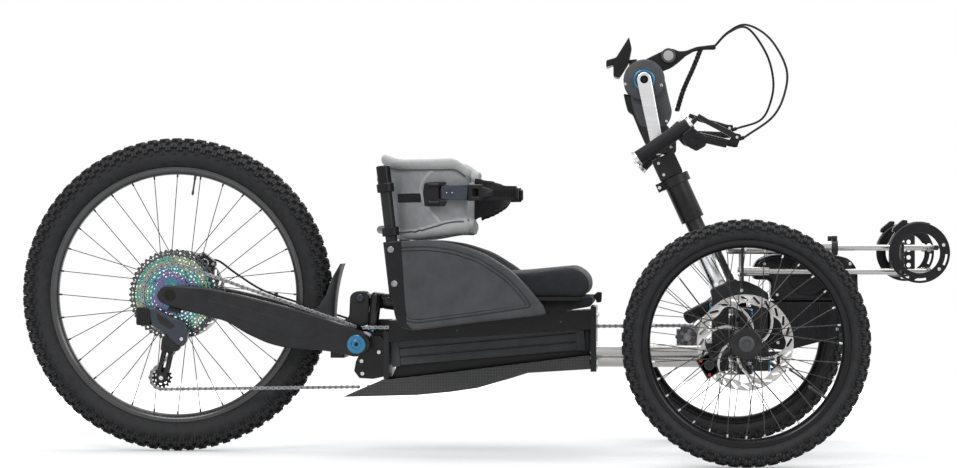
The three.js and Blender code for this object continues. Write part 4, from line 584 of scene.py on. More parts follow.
def tread(tyre, centre, pitches, high):
    """Rows of knobs round the casing. A knob's axes are the tangent, the casing's arc and its normal."""
    half = tyre[2]
    tall = (tyre[0] - tyre[1] + TYRE_WALL) / 2
    kinds = [  # angle from the crown, place within the pitch, length, width, share of the height
        (10.5, 0.0, 0.60, 10.5, 1.0), (-10.5, 0.08, 0.60, 10.5, 1.0), (32.0, 0.5, 0.50, 9.5, 0.95),
        (-32.0, 0.58, 0.50, 9.5, 0.95), (54.0, 0.04, 0.62, 12.0, 1.0), (-54.0, 0.12, 0.62, 12.0, 1.0),
        (66.0, 0.52, 0.44, 12.0, 0.85), (-66.0, 0.6, 0.44, 12.0, 0.85), (84.0, 0.06, 0.3, 6.0, 0.4),
        (-84.0, 0.14, 0.3, 6.0, 0.4),
    ]
    forms = []
    step = 2 * np.pi / pitches
    for degrees, place, share_long, wide, share in kinds:
        phi = math.radians(degrees)
        radius, y = casing_point(tyre, phi)
        rise, aside = unit(np.array([math.cos(phi) / tall, math.sin(phi) / half]))
        long = (share_long * step * tyre[0] - 1.2) / 2
        for sipe in (-1, 1):
            turn = -np.pi / 2 + step * (np.arange(pitches) + place) + sipe * (long / 2 + 0.6) / tyre[0]
            out = np.stack([np.cos(turn) * rise, np.full(pitches, aside), np.sin(turn) * rise], -1)
            along = np.stack([-np.sin(turn), np.zeros(pitches), np.cos(turn)], -1)
            across = np.cross(out, along)
            places = around_axle(centre, radius, turn, centre[2] + y)
            forms.append(copies(knob_form(long, wide * half / 31, high * share),
                    np.stack([along, across, out], -1), places))
    return joined(forms)


class HANDCYCLE_OT_tyres(bpy.types.Operator):
    """Three knobbly tyres: a casing with fine sidewall ribs and staggered rows of tread knobs"""

    bl_idname = "handcycle.tyres"
    bl_label = "Tyres"

    def execute(self, context):
        look = context.scene.handcycle
        rubber = "tyre_rubber"
        high = look.knob_height / MM
        jobs = [("rear_tread", "rear_wheel", "rear_tyre", REAR, (REAR[1] - high, 289, 30.0),
                look.rear_pitches)]
        for side, centre in FRONT.items():
            jobs.append((f"{side}_tread", f"{side}_wheel", f"{side}_tyre", centre,
                    (centre[1] - high, 217.5, 26.0), look.front_pitches))
        for name, body, node, centre, tyre, pitches in jobs:
            parts = [(tyre_casing(tyre, centre), rubber), (tread(tyre, centre, pitches, high), rubber)]
            piece(name, body, parts, (node,), sharp=28)
        return {"FINISHED"}


# Wheels


def spoke_set(centre, flange_r, flange_y, rim_r, count):
    """Root, tip and direction of each spoke. Flanges go by turns, and every other pair leans back."""
    i = np.arange(count)
    side = np.where(i % 2 == 0, 1, -1)
    lean = np.where((i // 2) % 2 == 0, 1, -1)
    rim_turn = 2 * np.pi * i / count
    root_turn = rim_turn + lean * math.radians(62)
    y0, y1 = flange_y
    flange = np.where(side > 0, y1, y0)
    root = around_axle(centre, flange_r, root_turn, centre[2] + flange + lean * SPOKE_OFFSET)
    tip = around_axle(centre, rim_r, rim_turn, centre[2] + side * 1.5)
    way = unit(tip - root)
    return root, tip, way


def bars_between(a, b, radius, sides=8):
    """Many plain round bars at once, from each row of a to each row of b."""
    way = unit(b - a)
    u = unit(np.cross(way, np.array([0.0, 1.0, 0.0])))
    w = np.cross(way, u)
    turn = even_turns(sides)
    ring = radius * (np.cos(turn)[None, :, None] * u[:, None] + np.sin(turn)[None, :, None] * w[:, None])
    points = np.stack([a[:, None] + ring, b[:, None] + ring], 1).reshape(-1, 3)
    starts = np.arange(len(a))[:, None, None] * 2 * sides
    faces = [(grid(2, sides, False, True)[None] + starts).reshape(-1, 4)]
    ends = np.stack([np.arange(sides)[::-1], np.arange(sides) + sides])
    faces.append((ends[None] + starts).reshape(-1, sides))
    return points, faces


def rim_form(centre, outer, inner, half, steps=120):
    """Deep rim: a closed section with hooked edges, a well and a spoke bed, turned about the axle."""
    section = [[-half, outer], [-half, outer - 6], [-half + 1, outer - 9], [-half * 0.62, inner + 3],
        [-half * 0.4, inner + 0.6], [0, inner], [half * 0.4, inner + 0.6], [half * 0.62, inner + 3],
        [half - 1, outer - 9], [half, outer - 6], [half, outer], [half - 1.6, outer], [half - 2, outer - 4],
        [half * 0.5, outer - 7], [-half * 0.5, outer - 7], [-half + 2, outer - 4], [-half + 1.6, outer]]
    return turned(np.array(section) + np.array([centre[2], 0.0]), (centre[0], 0, centre[1]), (0, 1, 0),
        steps, closed=True)


def rotor_forms(centre, y, thick=1.8):
    """Brake rotor: a slotted ring with a wavy inner edge, and a spider of curved arms on a boss."""
    c = (centre[0], centre[1])
    a = even_turns(96)
    outer = around(c, ROTOR_RADIUS, a)
    holes = [around(c, 83.0 + 2.2 * np.cos(12 * a), a)]
    for k in range(24):
        mid, lean = 2 * np.pi * k / 24, math.radians(4.5)
        turn = mid + np.array([-1.0, 1.0]) * lean
        ends = around(c, np.array([88.0, 97.0]), turn)
        way = unit(ends[1] - ends[0])
        side = np.array([-way[1], way[0]]) * 2.5
        holes.append(np.array([ends[0] - side, ends[0] - way * 1.9, ends[0] + side, ends[1] + side,
                ends[1] + way * 1.9, ends[1] - side]))
    ring = pressed(outer, y, y + thick, holes, edge=0.3, steps=1)
    arms = []
    for k in range(6):
        t = np.linspace(0, 1, 9)
        radius = 30 + 57 * t
        turn = 2 * np.pi * k / 6 + t * math.radians(52)
        mid = around(c, radius, turn)
        half = (3.6 - 1.0 * np.sin(np.pi * t))[:, None]
        arms.append(pressed(ribbon(mid, half), y - 0.5, y + thick + 0.5, edge=0.5, steps=1))
    boss = pressed(circle(34, 48, c), y - 1.2, y + thick + 1.2, [circle(19, 32, c)], edge=0.6)
    bolts = [cap([[0, 0.2], [0, 4.2], [2.4, 3.8], [2.6, 0.2]], x, 1.0 - y, z, -1, 12)
             for x, z in around(c, 25.5, even_turns(6))]
    return ring, joined(arms), boss, joined(bolts)


def valve_form(centre, inner, turn):
    """Air valve: a stem through the rim with a small cap."""
    way = np.array([math.cos(turn), 0.0, math.sin(turn)])
    start = np.array([centre[0], centre[2], centre[1]]) + way * (inner + 4)
    return turned([[0, 0.3], [0, 3.2], [12, 3.0], [13, 2.2], [38, 2.2], [38.5, 2.9], [46, 2.7], [48, 0.3]],
        start, -way, 14)


class HANDCYCLE_OT_wheels(bpy.types.Operator):
    """Rims, crossed spokes with bright nipples, hubs, valves and vented brake rotors of the three wheels"""

    bl_idname = "handcycle.wheels"
    bl_label = "Wheels"

    def execute(self, context):
        count = context.scene.handcycle.spokes
        black, steel, bright = "wheel_black", "dark_steel", "bright_steel"
        # name, centre, rim's radii and half width, flange's radius and places, hub's radius and ends, rotor's
        # place, angle of the valve
        jobs = [("rear", REAR, 288.5, 271.0, 15.0, 28.0, (-27.0, 27.0), 16.0, (-36.0, 36.0), 46.0, 1.42)]
        for name, centre in FRONT.items():
            ends, disc_y = ((-32.0, 38.0), 40.0) if name == "right" else ((-38.0, 32.0), -41.8)
            jobs.append((name, centre, 217.0, 200.0, 16.0, 29.0, (-24.0, 24.0), 17.0, ends, disc_y, -0.6))
        for name, centre, outer, inner, half, flange_r, flange_y, hub_r, ends, disc_y, valve in jobs:
            root, tip, way = spoke_set(centre, flange_r, flange_y, inner + 2, count)
            axle = (centre[0], 0, centre[1])
            low, high = ends
            body = turned(np.array([[low, hub_r - 6], [low, hub_r], [-20, hub_r - 1], [0, hub_r - 4],
                    [20, hub_r - 1], [high, hub_r], [high, hub_r - 6]]) + [centre[2], 0], axle, (0, 1, 0),
                48)
            disc = [[-2, hub_r - 3], [-2, flange_r + 2], [-1, flange_r + 3.5], [1, flange_r + 3.5],
                [2, flange_r + 2], [2, hub_r - 3]]
            flanges = [turned(np.array(disc) + [centre[2] + y, 0], axle, (0, 1, 0), 48, closed=True)
                for y in flange_y]
            ring, arms, boss, bolts = rotor_forms(centre, centre[2] + disc_y)
            toward = 1 if disc_y > 0 else -1
            carrier = rod((centre[0], centre[2] + (high if toward > 0 else low) - toward, centre[1]),
                (centre[0], centre[2] + disc_y, centre[1]), 30, 1)
            parts = [
                (rim_form(centre, outer, inner, half), "rim_grey" if name == "rear" else "gloss_black"),
                (joined([body, *flanges]), black),
                (bars_between(root, tip, 0.95), black),
                (bars_between(tip - way * 8, tip + way * 1.0, 2.0, 6), black if name == "rear" else bright),
                (valve_form(centre, inner, valve), steel),
                (joined([ring, arms]), "rail_steel"), (boss, black), (bolts, bright), (carrier, black),
            ]
            if name == "rear":
                end_cap = turned([[36, 4], [36, 13], [44, 12.5], [46, 9], [46, 4]], axle, (0, 1, 0), 40)
                parts.append((end_cap, black))
            else:
                out = dict(SIDES)[name]
                end_cap = cap([[0, 16.5], [3, 16.5], [5, 13], [5, 9], [3, 8.5], [3, 0.2]], centre[0],
                    out * centre[2] + 32.0, centre[1], out)
                parts.append((end_cap, "grey_paint"))
            piece(f"{name}_wheel_built", f"{name}_wheel", parts, (f"{name}_wheel",), sharp=40)
        return {"FINISHED"}


# Drive train


def toothed(radius, teeth, depth=4.2, centre=(0.0, 0.0)):
    """Sprocket outline: each tooth is eight points whose radius follows a flattened wave."""
    a = even_turns(teeth * 8)
    return around(centre, radius - depth / 2 + depth / 2 * np.clip(np.cos(teeth * a) * 1.5, -1, 1), a)


class HANDCYCLE_OT_cassette(bpy.types.Operator):
    """Twelve toothed sprockets, the large ones pierced, in a rainbow coating, the largest one dark"""

    bl_idname = "handcycle.cassette"
    bl_label = "Cassette"

    def execute(self, context):
        centre = (REAR[0], REAR[1])
        radii = [101, 93.5, 86, 78.5, 71.5, 65, 57, 49.5, 42.5, 36.5, 30.5, 25.5]
        teeth = [50, 46, 42, 38, 35, 32, 28, 24, 21, 18, 15, 12]
        rows = np.linspace(CASSETTE_Y[0], CASSETTE_Y[1], 12)
        rainbow, dark = "rainbow_steel", "dark_steel"
        parts = []
        for k, (radius, count, y) in enumerate(zip(radii, teeth, rows)):
            inner = radii[k + 1] - 3.5 if k < 11 else 15
            holes = [circle(max(inner, 15), 40, centre)]
            mid = (radius - 3 + max(inner, 15)) / 2
            room = (radius - 3 - max(inner, 15)) / 2 - 1.0
            if k < 8:
                number = int(2 * np.pi * mid / (2 * room + 1.8))
                holes += [circle(room, 8, at) for at in around(centre, mid, even_turns(number) + 0.1 * k)]
            form = pressed(toothed(radius + 2, count, centre=centre), y - 0.95, y + 0.95, holes, edge=0.25,
                steps=0)
            parts.append((form, dark if k < 2 else rainbow))
        for k in range(11):
            near = max(radii[min(k + 1, 11)] - 3.5, 17)
            parts.append((pressed(circle(near + 2.4, 40, centre), rows[k + 1] - 0.4, rows[k] + 0.4,
                    [circle(near - 1.2, 40, centre)], edge=0.3, steps=0), dark if k % 2 else rainbow))
        lock = cap([[0, 9], [0, 17.5], [2.5, 16.5], [3.5, 13], [3.5, 9]], centre[0], 71.5, centre[1], -1,
            36, True)
        parts.append((lock, dark))
        piece("cassette_sprockets", "cassette", parts, ("cassette",), sharp=30)
        return {"FINISHED"}


def tangent_path(start, circles, end):
    """Line that leaves start, runs round each (centre, radius, sense) circle and reaches end, all tangent.

    Sense 1 runs anticlockwise in the side plane. A tangent leaves two circles at the angle of the line of
    centres, turned by the arc cosine of the radii's sum or difference over the distance."""
    stops = [(np.asarray(start, float), 0.0, 0)] + [(np.asarray(c, float), r, s) for c, r, s in circles]
    stops.append((np.asarray(end, float), 0.0, 0))
    touch = []
    for (a, ra, sa), (b, rb, sb) in zip(stops[:-1], stops[1:]):
        way = b - a
        far, angle = math.hypot(*way), math.atan2(way[1], way[0])
        sa, sb = sa or sb or 1, sb or sa or 1
        turn = math.acos((ra * sa - rb * sb) / far)
        leave = angle - turn
        normal = np.array([math.cos(leave), math.sin(leave)])
        touch.append((a + normal * ra * sa, b + normal * rb * sb))
    points = [touch[0][0]]
    for k, (centre, radius, sense) in enumerate(stops[1:-1]):
        into, out = touch[k][1] - centre, touch[k + 1][0] - centre
        a0, a1 = math.atan2(into[1], into[0]), math.atan2(out[1], out[0])
        while (a1 - a0) * sense < 0:
            a1 += 2 * math.pi * sense
        arc = np.linspace(a0, a1, max(4, int(abs(a1 - a0) * radius / 2)))
        points += list(around(centre, radius, arc))
    points.append(touch[-1][1])
    return np.array(points)


def chain_links(line, y):
    """Roller chain on a line in the side plane: pairs of waisted plates, and rollers with rivets."""
    far = np.concatenate([[0], np.cumsum(np.linalg.norm(np.diff(line, axis=0), axis=1))])
    count = int(far[-1] / CHAIN_PITCH)
    at = np.linspace(0, far[-1], count + 1)
    pins = np.stack([np.interp(at, far, line[:, 0]), np.interp(at, far, line[:, 1])], -1)
    middle, way = (pins[1:] + pins[:-1]) / 2, unit(pins[1:] - pins[:-1])
    angles = np.arctan2(way[:, 1], way[:, 0])
    side = np.array([-1, 1])
    end = np.linspace(-math.pi / 2, math.pi / 2, 5)
    lobe = np.stack([CHAIN_PITCH / 2 + 4.2 * np.cos(end), 4.2 * np.sin(end)], -1)
    outline = np.vstack([lobe, [[0, 3.0]], lobe[::-1] * [-1, 1], [[0, -3.0]]])
    forms = []
    for odd, out in ((0, 2.3), (1, 3.3)):
        pick = np.arange(odd, count, 2)
        plates = [pressed(outline, min(s * out, s * (out - 0.9)), max(s * out, s * (out - 0.9)), edge=0.2,
                steps=0) for s in side]
        places = np.stack([middle[pick, 0], np.full(len(pick), y), middle[pick, 1]], -1)
        forms.append(copies(joined(plates), turns_about_y(angles[pick]), places))
    ends = np.stack([pins[:, 0], np.full(len(pins), y), pins[:, 1]], -1)
    rollers = bars_between(ends - [0, 1.5, 0.0], ends + np.array([0, 1.5, 0.001]), 3.9, 8)
    rivets = bars_between(ends - [0, 3.7, 0.0], ends + np.array([0, 3.7, 0.001]), 1.8, 8)
    return joined(forms), joined([rollers, rivets])


class HANDCYCLE_OT_chains(bpy.types.Operator):
    """Rear chain over cassette and derailleur, front chain from the pivot to the drive sprocket"""

    bl_idname = "handcycle.chains"
    bl_label = "Chains"

    def execute(self, context):
        steel, dark = "chain_steel", "dark_steel"
        rear = tangent_path((-270, 284), [((REAR[0], REAR[1]), 69.0, 1), (UPPER_JOCKEY, 17.0, -1),
                (LOWER_JOCKEY, 26.0, 1)], (-262, 149))
        plates, rollers = chain_links(rear, CHAIN_Y)
        piece("rear_chain_links", "swingarm", [(plates, steel), (rollers, dark)], ("rear_chain",),
            sharp=30)
        lower = smooth_path([[-240, 150], [-90, 163], [60, 176], [120, 193], [200, 199], [300, 230]], 60)
        turn = tangent_path(lower[-1], [(DRIVE_SPROCKET, 25.5, 1)], (-250, 281.5))
        plates, rollers = chain_links(np.vstack([lower[:-1], turn]), CHAIN_Y)
        piece("front_chain_links", "chassis", [(plates, steel), (rollers, dark)],
            ("front_chain",), sharp=30)
        x, z = DRIVE_SPROCKET
        holes = [circle(6, 20, (x, z)), *[circle(4.5, 12, at) for at in around((x, z), 14, even_turns(5))]]
        drive = pressed(toothed(27.0, 12, centre=(x, z)), CHAIN_Y - 1.3, CHAIN_Y + 1.3, holes, edge=0.3,
            steps=1)
        hub = tube_wall((x, CHAIN_Y - 3, z), (x, CHAIN_Y + 3, z), 9, 6.05)
        piece("drive_sprocket_toothed", "drive_sprocket", [(drive, dark), (hub, steel)],
            ("drive_sprocket",))
        return {"FINISHED"}


def bolt(at, way, radius=4.0, height=3.0):
    """Socket-head bolt: a turned head with a recess."""
    r, h = radius, height
    return turned([[0, 0.2], [0, r], [h * 0.6, r], [h, r * 0.82], [h, r * 0.46], [h * 0.35, r * 0.42],
            [h * 0.35, 0.1]], at, way, 20)


def bolts_right(places, y, radius=4.0, height=3.0):
    """Bolts on a face that looks to the right side, at [x, z] places."""
    return joined([bolt((x, y, z), (0, -1, 0), radius, height) for x, z in places])


class HANDCYCLE_OT_derailleur(bpy.types.Operator):
    """Electric derailleur: body with its battery, knuckle, pierced cage and two toothed pulleys"""

    bl_idname = "handcycle.derailleur"
    bl_label = "Derailleur"

    def execute(self, context):
        plastic, metal, steel = "smooth_plastic", "frame_black", "bright_steel"
        body = [[-733, 327], [-716, 327], [-679, 306], [-650, 296], [-640, 274], [-643, 250], [-655, 238],
            [-668, 244], [-690, 266], [-722, 286]]
        battery = [[-757, 327], [-735, 327], [-724, 321], [-724, 286], [-757, 287]]
        lid = [[-712, 316], [-690, 303], [-668, 286], [-680, 278], [-704, 292]]
        knuckle = [[-700, 262], [-664, 276], [-652, 250], [-664, 228], [-704, 228]]
        forms = [
            (pressed(fillet(body, 7), -93.8, -74.6, edge=4.5, steps=4), "slate_plastic"),
            (pressed(fillet(battery, 5), -94.6, -74.3, edge=2.0), plastic),
            (pressed(fillet(knuckle, 8), -88.4, -69.4, edge=3.5, steps=3), metal),
            (pressed([[-690, 320], [-660, 312], [-660, 322.7], [-684, 329.3]], -84, -74.3), metal),
            (joined([block((-755 + 5 * k, -95.2, 292), (-752.6 + 5 * k, -94.0, 322), 0.4)
                for k in range(6)]), metal), (pressed(fillet(lid, 3), -94.8, -93.4, edge=0.5), metal),
            (bolts_right([UPPER_JOCKEY], -88.2, 6.0, 2.4), metal),
            (bolts_right([(-655, 256)], -93.6, 4.0, 1.6), steel)]
        piece("derailleur_body_built", "swingarm", forms, ("derailleur_body",))
        top, foot = np.array(UPPER_JOCKEY, float), np.array(LOWER_JOCKEY, float)
        way = unit(foot - top)
        side = np.array([-way[1], way[0]])
        fan = np.radians(np.linspace(-90, 90, 9))
        ends = [foot + 12 * (way * math.cos(a) + side * math.sin(a)) for a in fan]
        ends += [top - 12 * (way * math.cos(a) + side * math.sin(a)) for a in fan]
        mid = (top + foot) / 2
        slot = [mid + way * a + side * b for a, b in ((-20, -4), (20, -4), (24, 0), (20, 4), (-20, 4),
                (-24, 0))]
        cage = [pressed(ends, low, low + 3, [slot, circle(3, 10, mid + way * 31.5)], edge=0.7)
                for low in (CHAIN_Y - 12, CHAIN_Y + 9)]
        pins = [rod((x, CHAIN_Y - 13, z), (x, CHAIN_Y + 13, z), 5, 0.6, 20) for x, z in (top, foot)]
        piece("derailleur_cage_built", "derailleur_cage",
              [(joined(cage), metal), (joined(pins), steel)], ("derailleur_cage",))
        for name, (x, z), radius in (("upper_jockey", top, 15), ("lower_jockey", foot, 24)):
            holes = [circle(5.1, 20, (x, z))]
            if radius > 20:
                holes += [circle(3.6, 10, at) for at in around((x, z), 13, even_turns(7))]
            wheel = pressed(toothed(radius, 12 if radius < 20 else 14, 4.5, (x, z)), CHAIN_Y - 1.4,
                CHAIN_Y + 1.4, holes, edge=0.4, steps=1)
            hub = tube_wall((x, CHAIN_Y - 2.5, z), (x, CHAIN_Y + 2.5, z), 8, 5.15, 0.4, 24)
            piece(f"{name}_toothed", name, [(wheel, plastic), (hub, steel)], (name,))
        return {"FINISHED"}


ARM = [[-700, 371], [-689, 376.4], [-606, 371.3], [-528.8, 355.9], [-425, 329.8], [-352.7, 309],
    [-290, 288], [-262, 277], [-241, 268], [-230, 250], [-236, 230], [-262, 216], [-300, 226],
    [-347, 232.6], [-420, 236.8], [-461.5, 247], [-508, 268], [-554.5, 296.3], [-616.7, 311.8],
    [-684, 329.8], [-706, 340], [-712, 355]]
ARM_POCKET = [[-600, 344], [-520, 326], [-430, 304], [-352, 284], [-352, 258], [-420, 262], [-500, 292],
    [-590, 322]]


def caliper_form(centre, y, degrees):
    """Brake caliper over the rotor's edge: two halves joined above it, with bolts and piston caps."""
    turn = math.radians(degrees)
    out, along = np.array([math.cos(turn), 0, math.sin(turn)]), np.array([-math.sin(turn), 0, math.cos(turn)])
    axes = np.stack([along, np.array([0.0, 1.0, 0.0]), out], 1)
    at = np.array([centre[0], y, centre[1]]) + out * ROTOR_RADIUS
    m = np.eye(4)
    m[:3, :3], m[:3, 3] = axes, at
    half = [[-23, -24], [-19, -24], [19, -24], [23, -18], [23, 0], [15, 6], [-15, 6], [-23, 0]]
    body = [*(slab(fillet(half, 4), s, 2.5, 13.5, (), 2.5, 3) for s in (1, -1)),
            pressed([[-20, 2.5], [20, 2.5], [20, 6], [-20, 6]], -4, 4)]
    screws = [bolt((x, s * 13.3, -2), (0, s, 0), 3.6, 2.6) for x in (-17, 17) for s in (-1, 1)]
    pistons = [cap([[0, 8.5], [1.4, 8.5], [2.0, 7.8], [2.0, 0.2]], 0, 13.3, -12, s, 28) for s in (-1, 1)]
    rim = [cap([[0, 10.2], [0.9, 10.2], [1.2, 9.6], [1.2, 8.6], [0, 8.6]], 0, 13.4, -12, s, 28, True)
           for s in (-1, 1)]
    return moved(joined(body + pistons), m), moved(joined(screws), m), moved(joined(rim), m)


class HANDCYCLE_OT_swingarm(bpy.types.Operator):
    """Swingarm with shock tower, rear axle, mudguard and rear caliper, and the pivot with its caps"""

    bl_idname = "handcycle.swingarm"
    bl_label = "Swingarm"

    def execute(self, context):
        black, steel, blue = "frame_black", "bright_steel", "blue_anodised"
        outline = fillet(ARM, 16, 6)
        inner = outline[outline[:, 0] > -566]
        hole = circle(10.4, 32, PIVOT)
        forms = []
        for _, side in SIDES:
            forms.append((slab(outline, side, 77, 95, [hole], 4.0, 4), black))
            forms.append((slab(inner, side, 64, 79, [hole], 2.0), black))
        forms += [(slab(fillet(ARM_POCKET, 10), side, 94.2, 95.7, edge=0.5), black) for _, side in SIDES]
        forms.append((block((-324, -67, 214), (-294, 67, 262), 3), black))
        tower = [[-324, 240], [-294, 240], [-291, 270], [-284, 282], [-250, 284], [-242, 292], [-242, 352],
            [-250, 362], [-274, 362], [-285, 352], [-287, 304], [-302, 296], [-324, 276]]
        nut = [[0, 0.2], [0, 9], [4, 9], [6, 7], [6, 4], [3, 3.5], [3, 0.2]]
        for _, side in SIDES:
            forms.append((slab(fillet(tower, 8), side, 16, 26, [circle(5.1, 20, SHOCK_EYE)], 2.0), black))
            forms.append((cap(nut, SHOCK_EYE[0], 26, SHOCK_EYE[1], side, 28), "slate_plastic"))
        forms.append((crossbar(SHOCK_EYE[0], SHOCK_EYE[1], 27, 4.9, 0.5, 20), steel))
        forms.append((crossbar(REAR[0], REAR[1], 95.3, 8, 0.5, 28), "gloss_black"))
        nut = [[0, 0.2], [0, 13], [2.4, 12.4], [2.4, 8.5], [0.8, 8], [0.8, 0.2]]
        forms += [(cap(nut, REAR[0], 94.6, REAR[1], side, 32), "smooth_plastic") for _, side in SIDES]
        blade = smooth_path([[-321, 262.3], [-322, 310], [-317, 366], [-305, 424]], 24)
        hug = np.interp(blade[:, 1], [262, 300, 316, 327, 354, 396, 424], [0, 40, 56, 33, 18, 10, 0])
        thick = 2.5
        across = np.linspace(-44, 44, 21)
        front = np.stack([blade[:, None, 0] + thick - hug[:, None] * (np.abs(across) / 44) ** 6,
                np.broadcast_to(across, (24, 21)), np.broadcast_to(blade[:, None, 1], (24, 21))], -1)
        back = front - [thick, 0, 0]
        rings = np.concatenate([front, back[:, ::-1]], 1)
        forms.append((skin(rings), "moulded"))
        body, screws, rim = caliper_form((REAR[0], REAR[1]), 46.9, 52)
        forms += [(body, black), (screws, steel), (rim, steel)]
        forms.append((rod((-630, 59, 420), (-618, 84, 358), 6, 1, 20), black))
        hose_run = [[-622, 62, 428], [-600, 70, 430], [-560, 84, 400], [-500, 92, 362], [-420, 99, 334],
            [-350, 99, 312], [-300, 99, 296]]
        forms.append((hose(hose_run, 2.5, 60), "hose_black"))
        for x, z in ((-470, 351), (-380, 324)):
            forms.append((block((x - 4, 94, z - 5), (x + 4, 102, z + 5), 1), "moulded"))
        piece("swingarm_built", "swingarm", forms, ("swingarm",), sharp=38)
        x, z = PIVOT
        rim = [[0, 0.2], [0, 20], [1.0, 21], [4.6, 21], [6, 19.4], [6, 11.5], [3.4, 11], [3.4, 0.2]]
        caps = []
        for _, side in SIDES:
            caps += [(cap(rim, x, 95.3, z, side, 48), blue),
                     (cap([[0, 11], [2.0, 11], [2.4, 10.4], [2.4, 0.2]], x, 98.6, z, side), blue),
                     (cap([[0, 5], [0.8, 5], [0.8, 0.2]], x, 100.9, z, side, 6), "gloss_black")]
        caps.append((crossbar(x, z, 96, 10, 0.5, 32), steel))
        piece("pivot_caps", "chassis", caps, ("pivot_axle",))
        return {"FINISHED"}


def side_matrix(x, y, z, angle):
    """Local X turned up by the angle (radians) in the side plane, with the origin moved to a point."""
    c, s = math.cos(angle), math.sin(angle)
    return np.array([[c, 0, -s, x], [0, 1, 0, y], [s, 0, c, z], [0, 0, 0, 1]])


class HANDCYCLE_OT_shock(bpy.types.Operator):
    """Air shock with a reservoir beside it, and its bright shaft"""

    bl_idname = "handcycle.shock"
    bl_label = "Shock absorber"

    def execute(self, context):
        black = "wheel_black"
        along, down = -99 - SHOCK_EYE[0], 325 - SHOCK_EYE[1]
        m = side_matrix(SHOCK_EYE[0], 0, SHOCK_EYE[1], math.atan2(down, along))
        far = math.hypot(along, down)
        can = turned([[7, 12], [22, 13], [26, 17], [30, 18], [50, 18], [51, 17], [54, 17], [55, 18],
                [100, 18], [106, 17], [108, 15], [108, 5.6], [40, 5.6], [40, 0.2]], (0, 0, 0), (1, 0, 0),
            40)
        eye = tube_wall((0, -15.4, 0), (0, 15.4, 0), 13, 5.2)
        reservoir = turned([[0, 0.2], [0, 9], [3, 11], [6, 12], [76, 12], [80, 11], [82, 9], [82, 0.2]],
            (38, -39.2, -65), (0, 0, 1), 36)
        bridge = rod((38, -39.2, 0), (38, -8, 0), 9, 1, 28)
        knob = turned([[0, 0.2], [0, 7], [5, 7], [6, 6], [6, 0.2]], (38, -39.2, -65), (0, 0, -1), 24)
        forms = [(moved(joined([can, eye, reservoir, bridge]), m), black),
                 (moved(knob, m), "blue_anodised")]
        piece("shock_body_built", "shock_body", forms, ("shock_body",))
        shaft = rod((66, 0, 0), (far - 10, 0, 0), 5, 0.5, 28)
        nose = tube_wall((far, -15.4, 0), (far, 15.4, 0), 13, 5.5)
        collar = turned([[0, 6], [0, 17], [1, 18], [5, 18], [6, 17], [6, 6]], (far - 22, 0, 0), (1, 0, 0), 36)
        piece("shock_shaft_built", "shock_shaft",
              [(moved(shaft, m), "polished"), (moved(joined([nose, collar]), m), black)], ("shock_shaft",))
        return {"FINISHED"}


